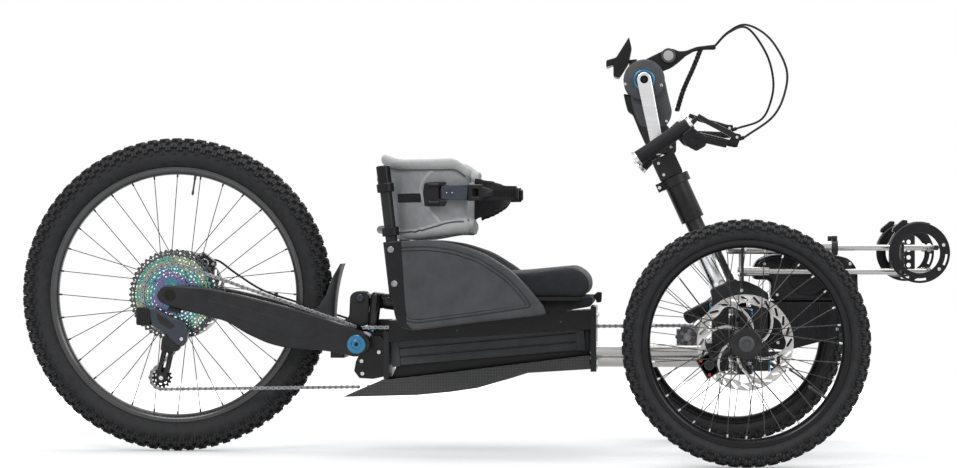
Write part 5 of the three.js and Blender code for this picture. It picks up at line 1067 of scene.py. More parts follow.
class HANDCYCLE_OT_frame(bpy.types.Operator):
    """Rear casting, seat beam, battery, carbon belly pan, polished rails, front block and chain guide"""

    bl_idname = "handcycle.frame"
    bl_label = "Frame"

    def execute(self, context):
        black, steel, blue = "frame_black", "bright_steel", "blue_anodised"
        dressed("rear_casting", "chassis", black, 1.8)
        piece("casting_bolts", "chassis", [
            (bolts_right([(-218, 226), (-257, 206), (-255, 178)], -39.8, 5.0, 4.0), steel),
            (bolts_right([(-208, 280)], -15.8, 4.0, 3.0), steel)])
        dressed("seat_beam", "chassis", "gloss_black", 1.5)
        piece("beam_bolts", "chassis", [
            (bolts_right([(-40, 276), (190, 296)], -65.8, 3.0, 2.0), "dark_steel"),
            (joined([bolt((-99, -26, 325), (0, -1, 0), 8, 5), bolt((-99, 26, 325), (0, 1, 0), 8, 5)]), blue),
            (joined([bolt((269, y, z), (1, 0, 0), 5, 4) for y in (-62, 62) for z in (205, 310)]), steel)])
        dressed("battery", "chassis", "moulded", 1.8)
        tray = [[-176, 203], [246, 237], [256, 219], [-190, 167]]
        piece("battery_tray", "chassis", [
                (joined([pressed(tray, -38, 38, edge=1.5),
                pressed([[236, 226], [257, 228], [257, 284], [236, 284]], -40, 40)]), "smooth_plastic")])
        dressed("belly_pan", "chassis", "carbon_weave", 0.8)
        back, front, rail_y, rail_z, spine_z = 268, 514, 72, 234, 213
        rails = [rod((back, s * rail_y, rail_z), (front, s * rail_y, rail_z), 12, 0.5, 48) for s in (-1, 1)]
        spine = rod((back, 0, spine_z), (front, 0, spine_z), 20, 0.5, 56)
        plate = block((512, -86, 190), (525, 86, 250), 1.5)
        ends = [turned([[0, 12.2], [0, 17], [1, 18], [9, 18], [10, 17], [10, 12.2]],
                (front - 12, s * rail_y, rail_z), (1, 0, 0), 40, True) for s in (-1, 1)]
        piece("rails", "chassis", [
                (joined([*rails, spine]), "rail_steel"), (plate, black), (joined(ends), black),
                (joined([bolt((511.8, y, z), (-1, 0, 0), 4.5, 3.5) for y in (-40, 40) for z in (202, 238)]),
                steel)], ("frame_tubes",))
        legs = [[525, 186], [562, 186], [562, 346], [613, 346], [613, 186], [650, 186], [650, 358],
            [628, 374], [600, 386], [582, 386], [577, 390.9], [521, 365.4], [525, 350]]
        forms = [(middle_plate(legs, 5, 34, edge=2.0, steps=3), black)]
        for z in (200, 320):
            forms.append((rod((527, 0, z), (649, 0, z), 8, 0.5, 28), steel))
            for x, way in ((525, -1), (650, 1)):
                forms.append((turned([[0, 0.2], [0, 16], [1, 17], [4, 17], [5.4, 15.6], [5.4, 9], [3, 8.6],
                        [3, 0.2]], (x - way * 0.5, 0, z), (way, 0, 0), 40), blue))
        a, b = np.array([470, 60, 300.0]), np.array([524, 30, 330.0])
        far = np.linalg.norm(b - a)
        forms.append((turned([[0, 0.2], [0, 12], [3, 15], [far * 0.6, 15], [far * 0.62, 13],
                [far * 0.7, 13], [far * 0.72, 15], [far, 14], [far, 0.2]], a, b - a, 36), "smooth_plastic"))
        forms.append((bolts_right([(543, 210), (543, 330), (632, 210), (632, 330), (590, 365)], -33.8, 4.5,
                3.2), steel))
        piece("front_block_built", "chassis", forms, ("front_block",), sharp=38)
        dressed("chain_guide", "chassis", "chain_steel", 1.2)
        return {"FINISHED"}


class HANDCYCLE_OT_linkage(bpy.types.Operator):
    """Lean linkage: cross beams, uprights, steering knuckles with calipers, and the tie rod"""

    bl_idname = "handcycle.linkage"
    bl_label = "Front linkage"

    def execute(self, context):
        black, blue = "frame_black", "blue_anodised"
        for name in ("lower_beam", "upper_beam"):
            dressed(name, name, black, 1.6)
        dressed("tie_rod", "tie_rod", black, 0.8)
        for side, sign in SIDES:
            dressed(f"{side}_upright", f"{side}_upright", black, 1.6)
            dressed(f"{side}_knuckle", f"{side}_knuckle", black, 1.4)
            body, screws, rim = caliper_form(FRONT[side][:2], sign * 319.1, 212)
            pin_y = sign * 258
            lid = turned([[0, 12], [3, 12], [5, 9], [5, 0.2]], (FRONT[side][0], pin_y, 292.6), (0, 0, 1), 32)
            pins = [turned([[0, 10], [2.5, 10], [4, 7], [4, 0.2]], (602.3, pin_y, z), (1, 0, 0), 28)
                    for z in (200, 320)]
            piece(f"{side}_caliper_detail", f"{side}_knuckle",
                  [(body, black), (screws, "red_detail"), (rim, "dark_steel"), (lid, blue)])
            piece(f"{side}_pin_caps", f"{side}_upright", [(joined(pins), blue)])
        return {"FINISHED"}


FOOT = (560.5, 353.0)
RAKE = math.radians(-24.5)
COLUMN_WAY = np.array([math.sin(RAKE), 0.0, math.cos(RAKE)])


def on_column(profile, sides, closed=False):
    """Profile of [along, radius] turned about the raked steering column, from its foot."""
    return turned(profile, (FOOT[0], 0.0, FOOT[1]), COLUMN_WAY, sides, closed)


def column_matrix():
    """Matrix that puts a form drawn on an upright column onto the raked one."""
    m = np.eye(4)
    m[:3, 0], m[:3, 2] = [math.cos(RAKE), 0.0, -math.sin(RAKE)], COLUMN_WAY
    m[:3, 3] = [FOOT[0], 0, FOOT[1]]
    return m


class HANDCYCLE_OT_column(bpy.types.Operator):
    """Polished head tube, telescopic column, sleeve, clamp collar and stem block"""

    bl_idname = "handcycle.column"
    bl_label = "Steering column"

    def execute(self, context):
        black, steel = "frame_black", "bright_steel"
        wall = [[28, 24.4], [28, 28.5], [29, 29.5], [40, 29.5], [42, 28.6], [118, 28.6], [120, 29.5],
            [131, 29.5], [132, 28.5], [132, 24.4], [131, 24], [29, 24]]
        piece("head_tube_turned", "chassis",
              [(on_column(wall, 64, True), "polished")], ("head_tube",))
        inner = [[30, 0.2], [30, 19.2], [31, 19.7], [36, 19.7], [36, 23.6], [50, 23.6], [50, 19.7],
            [110, 19.7], [110, 23.6], [124, 23.6], [124, 19.7], [299, 19.7], [300, 19.2], [300, 0.2]]
        piece("column_tube", "column",
              [(on_column(inner, 56), black)], ("steering_column",))
        sleeve = [[186, 20.6], [186, 26], [187, 26.7], [272, 26.7], [272, 33], [273, 34], [291, 34],
            [292, 33], [292, 20.6]]
        m = column_matrix()
        ears = [slab([[-44, 272.5], [-30, 272.5], [-30, 291.8], [-44, 291.8]], side, 1.2, 9, edge=1.0)
                for _, side in SIDES]
        stem = middle_plate([[-30, 292], [24, 292], [24, 344], [-30, 344]], 5, 27, edge=2.5, steps=3)
        forms = [
            (on_column(sleeve, 56, True), black), (moved(joined([*ears, stem]), m), black),
            (moved(joined([bolt((x, side * y, z), (0, side, 0), radius, height) for _, side in SIDES
                for x, y, z, radius, height in ((-38, 9, 282, 4.5, 3.6), (-18, 27, 304, 4, 3.2),
                (-18, 27, 332, 4, 3.2))]), m), steel)]
        piece("column_sleeve_built", "head", forms, ("column_sleeve",))
        return {"FINISHED"}


CRANK = (374.6, 833.0)
TIP = (CRANK[0] + 152 * math.sin(math.radians(11.2)), CRANK[1] - 152 * math.cos(math.radians(11.2)))


HOSES = {
    "right": [[532.3, -3, 911], [562, -12, 941], [601, -34, 955], [650, -74, 922], [684, -112, 856],
        [681, -138, 800], [654, -150, 745], [592, -150, 700]],
    "left": [[532.3, 3, 911], [564, 14, 942], [606, 40, 954], [650, 80, 900], [668, 116, 840],
        [662, 140, 790], [640, 150, 752], [586, 150, 733]]}


class HANDCYCLE_OT_crank_head(bpy.types.Operator):
    """Crank head: chain case, pod, gear housing with a blue ring, boom with its round end, and the display"""

    bl_idname = "handcycle.crank_head"
    bl_label = "Crank head"

    def execute(self, context):
        grey, black, blue = "grey_paint", "frame_black", "blue_anodised"
        steel = "bright_steel"
        case = [[340, 835], [342, 800], [352, 760], [366, 726], [418, 726], [433, 746], [437, 764],
            [428, 800], [421, 835], [408, 866], [378, 882], [350, 868]]
        neck = [[362, 736], [424, 736], [446, 706], [446, 672], [420, 668], [384, 676]]
        pod = [[328, 805], [340, 801], [362, 806], [370, 759], [379, 729], [387, 692], [379, 687], [364, 720],
               [349, 757], [338, 764], [332, 786]]
        window = [[338, 792], [352, 796], [357, 782], [352, 766], [341, 772]]
        boom = [[354, 866], [381, 883], [420, 902], [438, 905.5], [452, 899], [468, 900], [492, 909],
            [534.5, 914], [534.5, 902.6], [510, 902.6], [486, 899], [468, 889], [450, 873], [435, 862],
            [414, 854], [376, 854]]
        x, z = CRANK
        boom_x, boom_z = 428.7, 889
        forms = [
            (pressed(fillet(case, 14, 6), -24, 24, edge=5.0, steps=4), grey),
            (middle_plate(neck, 6, 23, edge=4.0, steps=3), black),
            (middle_plate(pod, 5, 20, edge=4.0, steps=3), "smooth_plastic"),
            (middle_plate(window, 3, 21, edge=1.2), "gloss_black"),
            (middle_plate(boom, 5, 10, edge=3.0, steps=3), "grip_black"),
        ]
        disc = [[23.6, 15], [23.6, 45], [25, 46], [37, 46], [39.4, 43.5], [40, 42], [40, 24.4], [37, 24],
            [37, 18.4], [40, 17.6], [40, 12], [39, 11], [39, 10.6]]
        ring = [[37.2, 18.6], [39.6, 18.8], [40.2, 19.5], [40.2, 22.6], [39.6, 23.6], [37.2, 23.6]]
        boom_end = [[0, 0.2], [0, 15.5], [1, 16.5], [7, 16.5], [8, 15.5], [8, 12.4], [6.6, 12], [6.6, 0.2]]
        for _, side in SIDES:
            forms += [(cap(disc, x, 0, z, side, 72), grey), (cap(ring, x, 0, z, side, 72, True), blue),
                      (cap(boom_end, boom_x, 9.8, boom_z, side), grey),
                      (cap([[0, 0.2], [0, 12], [1.2, 11.4], [1.2, 0.2]], boom_x, 16, boom_z, side),
                       "rail_steel" if side < 0 else grey)]
        forms.append((bolts_right([(333, 824), (413, 821)], -39.4, 3.2, 1.4), steel))
        forms.append((bolts_right([(424, 742), (434, 684)], -23.8, 3.4, 2.2), steel))
        piece("crank_head_built", "head", forms, ("crank_head",), sharp=38)
        screen = [[290, 878], [312, 884], [341, 930], [347, 905], [340, 872], [318, 838], [306, 842],
            [306, 868], [290, 862]]
        arm = [[341, 866], [354.6, 871], [359.2, 882], [341, 880]]
        glass = [[314, 846], [336, 876], [343, 903], [339, 918], [318, 872]]
        forms = [(middle_plate(screen, 4, 32, edge=2.0, steps=3), "smooth_plastic"),
                 (middle_plate(arm, 3, 11, edge=1.5), black),
                 (pressed(fillet(glass, 2), -32.6, -31.6, edge=0.4),
                  "gloss_black")]
        piece("display_built", "head", forms, ("display",), sharp=38)
        return {"FINISHED"}


class HANDCYCLE_OT_cranks(bpy.types.Operator):
    """Polished crank arms on their spindle, turning handgrips with bright clamps, brake bodies and levers"""

    bl_idname = "handcycle.cranks"
    bl_label = "Cranks and grips"

    def execute(self, context):
        polished, steel = "polished", "bright_steel"
        black, rubber = "smooth_plastic", "grip_black"
        x, z = CRANK
        forms = [(crossbar(x, z, 62, 10, 1, 36), steel)]
        way = math.atan2(TIP[1] - z, TIP[0] - x)
        root = around(CRANK, 16, way + np.radians(np.linspace(90, 270, 17)))
        tip = around(TIP, 13.6, way + np.radians(np.linspace(-90, 90, 13)))
        nut = [[0, 0.2], [0, 7.4], [1.6, 7.4], [2, 7], [2, 5], [0.8, 4.6], [0.8, 0.2]]
        washer = [[0, 6.2], [0, 10], [1.4, 10], [2, 9], [2, 6.2]]
        for _, side in SIDES:
            forms += [(slab(np.vstack([root, tip]), side, 50, 62, (), 2.2, 3), polished),
                      (rod((TIP[0], side * 60, TIP[1]), (TIP[0], side * 128, TIP[1]), 6, 0.8, 28), steel),
                      (cap(nut, x, 61.8, z, side, 4), "gloss_black"),
                      (cap(washer, TIP[0], 61.8, TIP[1], side, 32, True), steel)]
        piece("crank_arms", "crankset", forms, ("crankset",))
        for name, side, tilt in (("right", -1, 33.7), ("left", 1, 45.0)):
            m = side_matrix(TIP[0], side * 150, TIP[1], math.radians(tilt))
            sleeve = turned([[-51, 0.2], [-51, 15.4], [-49, 16], [-32, 15.6], [62, 15.6], [78, 15.4],
                    [80, 14], [80, 0.2]], (0, 0, 0), (1, 0, 0), 48)
            ridge = np.array([[0, 10], [0, 17.4], [1, 18.4], [3, 18.4], [3.6, 17], [5, 17], [5.6, 18.4],
                    [7.4, 18.4], [8, 17.6], [8, 11], [4, 10], [4, 0.2]])
            clamps = [turned(ridge * [1, size], (at, 0, 0), (way, 0, 0), 48)
                      for at, way, size in ((-51, -1, 1.0), (80, 1, 0.78))]
            hub = rod((0, side * -62, 0), (0, 0, 0), 13, 1.2, 36)
            pinch = bolt((-55, side * 2, 17.5), (0, 0, 1), 2.4, 1.6)
            perch = pressed(fillet([[52, -14], [50, -34], [62, -58], [86, -60], [98, -44], [88, -22],
                    [84, -8], [60, -10]], 5), -14, 14, edge=3.0, steps=3)
            lumps = [crossbar(64, -40, 16, 9, 1.2, 28), crossbar(82, -32, 16, 6, 1.0, 24),
                block((70, -15.5, -58), (84, 15.5, -50), 1.5), rod((84, 0, -3), (103, 0, 2), 5.5, 1.0, 20)]
            cylinder = turned([[0, 0.2], [0, 8.5], [2, 9.5], [16, 9.5], [18, 8], [90, 7.5], [110, 7.0],
                    [116, 4.5], [116, 0.2]], (66, 0, -12), (78.8, 0, -85.3), 36)
            cheeks = [pressed(fillet([[163.3, -82.7], [152.7, -70.7], [128.8, -79.5], [144.8, -97.3]], 4),
                    *sorted((e * 6.6, e * 9.6)), edge=1.0) for e in (-1, 1)]
            pin = crossbar(152, -82, 9.8, 3.6, 0.6, 20)
            end = np.linalg.inv(m) @ np.array([*HOSES[name][-1], 1.0])
            barb = rod((147, 0, -85), end[:3], 4.4, 0.8, 20)
            lid = middle_plate([[84, -50], [92, -42], [128, -80], [120, -88]], 3, 9.5, edge=1.5)
            forms = [(moved(sleeve, m), rubber), (moved(joined(clamps), m), polished),
                     (moved(joined([hub, perch, cylinder, barb, lid, *lumps, *cheeks]), m), black),
                     (moved(joined([pin, pinch]), m), steel)]
            piece(f"{name}_grip_built", f"{name}_grip", forms, (f"{name}_grip",), sharp=40)
            line = smooth_path([[152, -82], [141, -60], [129, -38], [117, -16], [108, 5]], 24)
            half = np.interp(np.linspace(0, 1, 24), [0, 0.1, 0.85, 1.0], [7.5, 6.4, 5.4, 4.6])[:, None]
            blade = pressed(ribbon(line, half), -6, 6, edge=2.4, steps=3)
            eye = crossbar(152, -82, 6, 7, 0.8, 32)
            piece(f"{name}_lever_built", f"{name}_brake_lever",
                  [(moved(joined([blade, eye]), m), "wheel_black")], (f"{name}_brake_lever",))
        return {"FINISHED"}


class HANDCYCLE_OT_hoses(bpy.types.Operator):
    """Two loops of brake hose and the braided bundle under the boom"""

    bl_idname = "handcycle.hoses"
    bl_label = "Hoses"

    def execute(self, context):
        for name, points in HOSES.items():
            path = smooth_path(points, 90)
            form = round_tube(path, 2.6, 12)
            obj = piece(f"{name}_hose", "head", [(form, "hose_black")], (f"{name}_hose_loop",))
        bundle = [[500, 0, 901.6], [484, 0, 862], [462, 0, 812], [448, 0, 766]]
        path = smooth_path(bundle, 90)
        turn = np.linspace(0, 26, 90)
        strands = []
        for k in range(4):
            a = turn + k * math.pi / 2
            shifted = path + 3.1 * np.stack([np.cos(a), np.sin(a), 0 * a], -1)
            strands.append(round_tube(shifted, 2.8, 10))
        piece("cable_bundle_braided", "head", [(joined(strands), "hose_black")], ("cable_bundle",))
        return {"FINISHED"}


class HANDCYCLE_OT_drive(bpy.types.Operator):
    """Motor case and its moulded cover with a round lid"""

    bl_idname = "handcycle.drive"
    bl_label = "Drive unit"

    def execute(self, context):
        steel = "bright_steel"
        motor = [[650.3, 237], [690, 232], [800, 262], [838, 290], [838, 341.7], [650.3, 341.7]]
        cover = [[655, 342], [655, 389], [616, 389], [613, 410], [624, 432], [650, 445], [700, 449],
            [790, 446], [828, 436], [845, 412], [847, 342]]
        ribs = [block((690 + 22 * k, -46, 262), (696 + 22 * k, 46, 338), 1.0) for k in range(6)]
        piece("drive_unit_built", "chassis", [
                (middle_plate(motor, 8, 44, edge=4, steps=3), "smooth_plastic"),
                (joined(ribs), "gloss_black"),
                (bolts_right([(670, 250), (800, 280), (825, 330), (665, 330)], -43.6, 4, 3), steel)],
            ("drive_unit",))
        lid = turned([[0, 0.2], [0, 40], [2, 42], [5, 42], [7, 40], [7, 34], [5.6, 33], [5.6, 0.2]],
            (735, -49.5, 398), (0, -1, 0), 64)
        forms = [(pressed(fillet(cover, 14, 6), -50, 50, edge=9, steps=5), "gloss_black"),
                 (lid, "smooth_plastic"),
                 (bolts_right([(640, 424), (828, 424), (834, 356), (668, 356)], -49.6, 3.6, 2.4), steel)]
        piece("drive_cover_built", "chassis", forms, ("drive_cover",), sharp=38)
        return {"FINISHED"}


class HANDCYCLE_OT_foot_cradle(bpy.types.Operator):
    """Foot cradle: sockets with collars, sliding rods, plates, perforated heel plate, rings and straps"""

    bl_idname = "handcycle.foot_cradle"
    bl_label = "Foot cradle"

    def execute(self, context):
        rail, black, steel = "rail_steel", "frame_black", "bright_steel"
        plastic = "smooth_plastic"
        tubes, collars, ears = [], [], []
        for side in (-1, 1):
            y = side * FOOT_RAIL_Y
            tubes.append(tube_wall((560, y, 460), (788, y, 460), 14, 6.6))
            tubes.append(tube_wall((585, y, 407), (650, y, 407), 10, 6.6))
            collars.append(tube_wall((786, y, 460), (800, y, 460), 16.5, 6.6, 1.2))
            ears.append(block((787, y - 5, 474), (799, y + 5, 486), 1.2))
            ears.append(bolt((793, y - 5, 480), (0, -1, 0), 3.4, 2.6))
        holes = [circle(6.6, 24, (s * FOOT_RAIL_Y, z)) for s in (-1, 1) for z in reversed(FOOT_RAIL_HEIGHTS)]
        plate = pressed([[-78, 386.3], [78, 386.3], [78, 476], [-78, 476]], 588, 594, holes, edge=1.0)
        plate = moved(plate, Matrix.Rotation(math.radians(-90), 4, "Z"))
        piece("foot_sockets_built", "chassis", [
            (joined(tubes), rail), (joined(collars + ears), black), (plate, black),
            (joined([bolt((587.6, y, z), (-1, 0, 0), 4.5, 3) for y in (-34, 34) for z in (400, 460)]), steel),
        ], ("foot_sockets",))
        rods = [rod((610, s * FOOT_RAIL_Y, z), (1006, s * FOOT_RAIL_Y, z), 6.3, 0.6, 32) for s in (-1, 1)
            for z in FOOT_RAIL_HEIGHTS]
        nuts = [turned([[0, 0.2], [0, 9], [6, 9], [7, 8], [7, 0.2]], (x, s * FOOT_RAIL_Y, z), (way, 0, 0), 24)
                for s in (-1, 1) for z in FOOT_RAIL_HEIGHTS for x, way in ((937, 1), (1002.6, -1))]
        bars = [crossbar(1006, z, 149.7, 5.5, 0.6, 24) for z in FOOT_RAIL_HEIGHTS]
        plates = [block((931, -149.7, 396), (937, 149.7, 472), 1.6), *bars]
        holes = [circle(5, 16, (934 + 41 * (i + 1) / 3, 404 + 86 * (j + 1) / 5)) for i in range(2)
            for j in range(4)]
        heel = pressed(fillet([[934, 404], [975, 404], [975, 490], [934, 490]], 6), -3, 3, holes, edge=0.8)
        piece("foot_carriage_built", "foot_cradle", [
                (joined(rods), rail), (joined(nuts), steel), (joined([*plates, heel]), black),
                (joined([bolt((937, s * y, z), (1, 0, 0), 4, 3) for s in (-1, 1) for y in (110, 138)
                for z in (415, 455)]), steel)], ("foot_carriage",))
        centre = np.array([969.0, 449.0])
        for name, side in SIDES:
            slots = []
            strap_y = side * 143.0
            for place in np.radians([-125, -88, -15]):
                arc = place + np.radians(np.linspace(-12, 12, 7))
                slots.append(np.vstack([around(centre, 60.3, arc), around(centre, 55.3, arc)[::-1]]))
            ring = slab(circle(65.5, 72, centre), side, 150, 158, [circle(44, 56, centre), *slots], 1.4, 3)
            turn = np.radians(np.linspace(70, 165, 25))
            across = [[-1.6, -15], [1.6, -15], [1.6, 15], [-1.6, 15]]
            band = skin(np.stack([around_axle(centre, 66 + s, turn, strap_y + w) for s, w in across], 1))
            teeth = []
            for t in np.radians(np.linspace(95, 150, 22)):
                out = np.array([math.cos(t), 0, math.sin(t)])
                at = np.array([centre[0], strap_y, centre[1]]) + out * 67.2
                teeth.append(rod(at - [0, 7, 0], at + [0, 7, 0], 1.0, 0.3, 6))
            box = middle_plate([[-17, 0], [17, 0], [21, 5], [13, 12], [-13, 10], [-19, 5]], 2, 11, edge=1.4)
            m = side_matrix(centre[0] + 67 * math.cos(2.2), strap_y, centre[1] + 67 * math.sin(2.2),
                2.2 - math.pi / 2)
            forms = [(ring, plastic), (band, "moulded"), (joined(teeth), plastic), (moved(box, m), plastic),
                (joined([bolt((x, side * 157.6, z), (0, side, 0), 4.4, 3.0)
                    for x, z in ((1020, 466), (1010.5, 414))]), steel)]
            piece(f"{name}_foot_ring_built", "foot_cradle", forms, (f"{name}_foot_ring",))
        return {"FINISHED"}


GUARD = [[-188.3, 465.5], [-181, 473], [-153.7, 475], [-95.3, 478], [-36.8, 470], [25.9, 449.5],
    [86.5, 411.4], [127.7, 370.3], [158, 332], [163.8, 315], [4.3, 296.7], [-127.7, 279.4], [-158, 288],
    [-166.7, 311.8], [-181.8, 391.9]]
GUARD_RELIEF = [[-166, 455], [-150, 461], [-95, 463], [-40, 456], [18, 437], [75, 400], [112, 363],
    [135, 330], [8, 311], [-120, 294], [-145, 300], [-152, 320]]
GUARD_STRIP = [[-187, 465], [-181, 471.5], [-152, 474], [-150, 440], [-143, 330], [-140, 296],
    [-128, 281.4], [-157, 289.5], [-165.5, 312.5], [-180.5, 392.5]]
CUSHION = [[-132, 351.4], [238, 351.4], [257, 360], [262, 378], [257, 397], [243, 411], [225, 416],
    [110, 405], [-20, 398], [-120, 402], [-138, 392], [-140, 364]]


def toward_middle(outline, by):
    """Outline moved inwards along its own normals by a distance."""
    p = np.asarray(outline, float)
    way = unit(np.roll(p, -1, 0) - np.roll(p, 1, 0))
    normal = np.stack([-way[:, 1], way[:, 0]], -1)
    area = np.sum(p[:, 0] * np.roll(p[:, 1], -1) - np.roll(p[:, 0], -1) * p[:, 1])
    return p + normal * (by if area > 0 else -by)


SWELL_PRESSURE = 4.0
SWELL_MOST = 4.0
SWELL_FRAMES = 20


def swell(name, form, mat, voxel):
    """Padded form: remeshed evenly (voxel in mm) and blown up by cloth pressure without gravity.

    No point moves by more than SWELL_MOST (mm)."""
    mesh = bpy.data.meshes.new(name)
    mesh.from_pydata(form[0] * MM, [], [row for f in form[1] for row in np.asarray(f).tolist()])
    closed_up(mesh)
    holder = bpy.data.objects.new(name, mesh)
    bpy.context.scene.collection.objects.link(holder)
    remesh = holder.modifiers.new("even", "REMESH")
    remesh.mode, remesh.voxel_size = "VOXEL", voxel * MM
    graph = bpy.context.evaluated_depsgraph_get()
    even = bpy.data.meshes.new_from_object(holder.evaluated_get(graph))
    holder.modifiers.clear()
    holder.data = even
    start = points_of(even.vertices)
    cloth = holder.modifiers.new("swell", "CLOTH")
    cloth.settings.quality, cloth.settings.use_pressure = 5, True
    cloth.settings.uniform_pressure_force = SWELL_PRESSURE
    cloth.settings.effector_weights.gravity = 0.0
    cloth.point_cache.frame_start, cloth.point_cache.frame_end = 1, SWELL_FRAMES
    for step in range(1, SWELL_FRAMES + 1):
        bpy.context.scene.frame_set(step)
    graph = bpy.context.evaluated_depsgraph_get()
    blown = holder.evaluated_get(graph).to_mesh()
    move = points_of(blown.vertices) - start
    far = np.linalg.norm(move, axis=1, keepdims=True)
    move *= np.minimum(1.0, SWELL_MOST * MM / np.maximum(far, 1e-9))
    holder.evaluated_get(graph).to_mesh_clear()
    holder.modifiers.clear()
    even.vertices.foreach_set("co", (start + move).ravel())
    bpy.context.scene.frame_set(1)
    bpy.data.objects.remove(holder)
    bpy.data.meshes.remove(mesh)
    even.name = name
    even.materials.clear()
    even.materials.append(MATERIALS[mat])
    return even


def soft(name, mesh, body, stands_for):
    """Padded object from a swollen mesh, smoothed by one subdivision."""
    obj = placed(name, mesh, body, stands_for, sharp=180.0)
    smooth = obj.modifiers.new("smooth", "SUBSURF")
    smooth.levels = smooth.render_levels = 1
    return obj


class HANDCYCLE_OT_seat(bpy.types.Operator):
    """Seat pan, moulded side guards with a relief line, and the padded cushion"""

    bl_idname = "handcycle.seat"
    bl_label = "Seat"

    def execute(self, context):
        dressed("seat_pan", "chassis", "smooth_plastic", 1.0)
        outline, relief = fillet(GUARD, 22, 6), fillet(GUARD_RELIEF, 14, 6)
        for name, side in SIDES:
            base = slab(outline, side, 178.4, 202.6, (), 6, 4)
            ring = slab(toward_middle(outline, 2.5), side, 201.5, 205, [relief], 1.3)
            rib = slab(toward_middle(relief, 3.0), side, 201.5, 205, [toward_middle(relief, 8.0)], 1.2)
            panel = slab(toward_middle(relief, 11.0), side, 201.5, 205, (), 1.3)
            screws = [bolt((x, side * 205.0, z), (0, side, 0), 7.0, 2.6)
                for x, z in ((-175, 456), (-167, 382))]
            piece(f"{name}_guard_moulded", "chassis",
                  [(joined([base, ring, rib, panel]), "moulded"),
                   (slab(GUARD_STRIP, side, 203, 205.6), "smooth_plastic"), (joined(screws), "chain_steel")],
                  (f"{name}_side_guard",), sharp=38)
        shell = fillet([[140, 316], [160, 315], [257, 331.5], [262, 338], [262, 352.5], [140, 352.5]], 3)
        tab = fillet([[258, 350], [270, 361], [280, 360], [279, 338], [268, 337], [266, 345]], 3)
        piece("cushion_shell", "chassis", [
            (pressed(shell, -164, 164, edge=2.0), "lining"),
            (pressed(tab, -14, 14, edge=1.0), "webbing")])
        shape = fillet(CUSHION, 8, 4)
        middle = shape.mean(0)
        shares = np.array([0.90, 0.96, 0.985, 1.0, 1.0, 0.985, 0.96, 0.90])
        places = np.array([-166, -163, -150, -120, 120, 150, 163, 166.0])
        rings = [np.stack([middle[0] + (shape[:, 0] - middle[0]) * (0.5 + 0.5 * s), np.full(len(shape), y),
                352.5 + (shape[:, 1] - 351.4) * s], -1) for s, y in zip(shares, places)]
        mesh = swell("seat_cushion_padded", skin(rings), "cushion_cloth", 6.0)
        co = points_of(mesh.vertices)
        co[:, 2] = np.maximum(co[:, 2], 0.3516)
        co[:, 1] = np.clip(co[:, 1], -0.1735, 0.1735)
        mesh.vertices.foreach_set("co", co.ravel())
        soft("seat_cushion_padded", mesh, "chassis", ("seat_cushion",))
        return {"FINISHED"}


def padded_band(turn, depth, width, x, thick, low, high):
    """Band round the rider: at each angle a rounded section, thick across and reaching from low to high."""
    a = even_turns(28)
    power = 0.45
    across = np.sign(np.cos(a)) * np.abs(np.cos(a)) ** power
    up = np.sign(np.sin(a)) * np.abs(np.sin(a)) ** power
    half = (high - low)[:, None] / 2
    out = thick / 2 * across[None] * np.ones_like(half)
    z = (high + low)[:, None] / 2 + half * up[None]
    c, s = np.cos(turn)[:, None], np.sin(turn)[:, None]
    return skin(np.stack([x + (depth + out) * c, (width + out) * s, z], -1))


def rolled_band(turn, depth, width, x, thick, rolls, low, high, lean):
    """Band round the rider, thin in the middle, with a round roll along its bottom and top edges.

    At a height h from an edge half the thickness is the roll's circle, the root of roll squared less
    (h - roll) squared, but no less than half the middle's thickness above the roll's centre. The upper part
    leans outwards with the cube of its share of the height, the foot 8 mm inwards."""
    steps = np.array([0.02, 0.15, 0.45, 1.0, 1.5, 1.8, 2.1])
    under, over = (r[:, None] * np.ones((1, 7)) for r in rolls)
    tall = (high - low)[:, None]
    h = np.hstack([under * steps, tall * np.array([0.35, 0.5, 0.65]), tall - over * steps[::-1]])
    near = np.minimum(h, tall - h)
    roll = np.hstack([under, under[:, :3], over])
    half = np.sqrt(np.clip(roll**2 - (near - roll) ** 2, 0.25, None))
    half = np.maximum(half, np.where(near > roll, thick / 2, 0.5))
    half[:, 7:10] = thick / 2
    shift = lean * (h / tall) ** 3 - 8 * (1 - h / tall) ** 2
    out = np.hstack([shift + half, (shift - half)[:, ::-1]])
    z = low[:, None] + np.hstack([h, h[:, ::-1]])
    c, s = np.cos(turn)[:, None], np.sin(turn)[:, None]
    return skin(np.stack([x + (depth + out) * c, (width + out) * s, z], -1))


def surface_of(mesh):
    """Search tree of a mesh's faces."""
    work = bmesh.new()
    work.from_mesh(mesh)
    tree = BVHTree.FromBMesh(work)
    work.free()
    return tree


def strip_on(surface, line, half, lift, sink=1.5):
    """Flat band laid on a surface along a line. It stands up along the surface's normal."""
    hits = [surface.find_nearest(Vector(p * MM)) for p in line]
    at, normal = np.array([h[0] for h in hits]) / MM, np.array([h[1] for h in hits])
    side = unit(np.cross(normal, unit(np.gradient(at, axis=0))))
    shape = [(1, 0.3), (0.7, 1.0), (-0.7, 1.0), (-1, 0.3)]
    rings = [at + side * half * s + normal * lift * n for s, n in shape]
    rings += [at + side * half * s - normal * sink for s in (-1, 1)]
    return skin(np.stack(rings, 1))


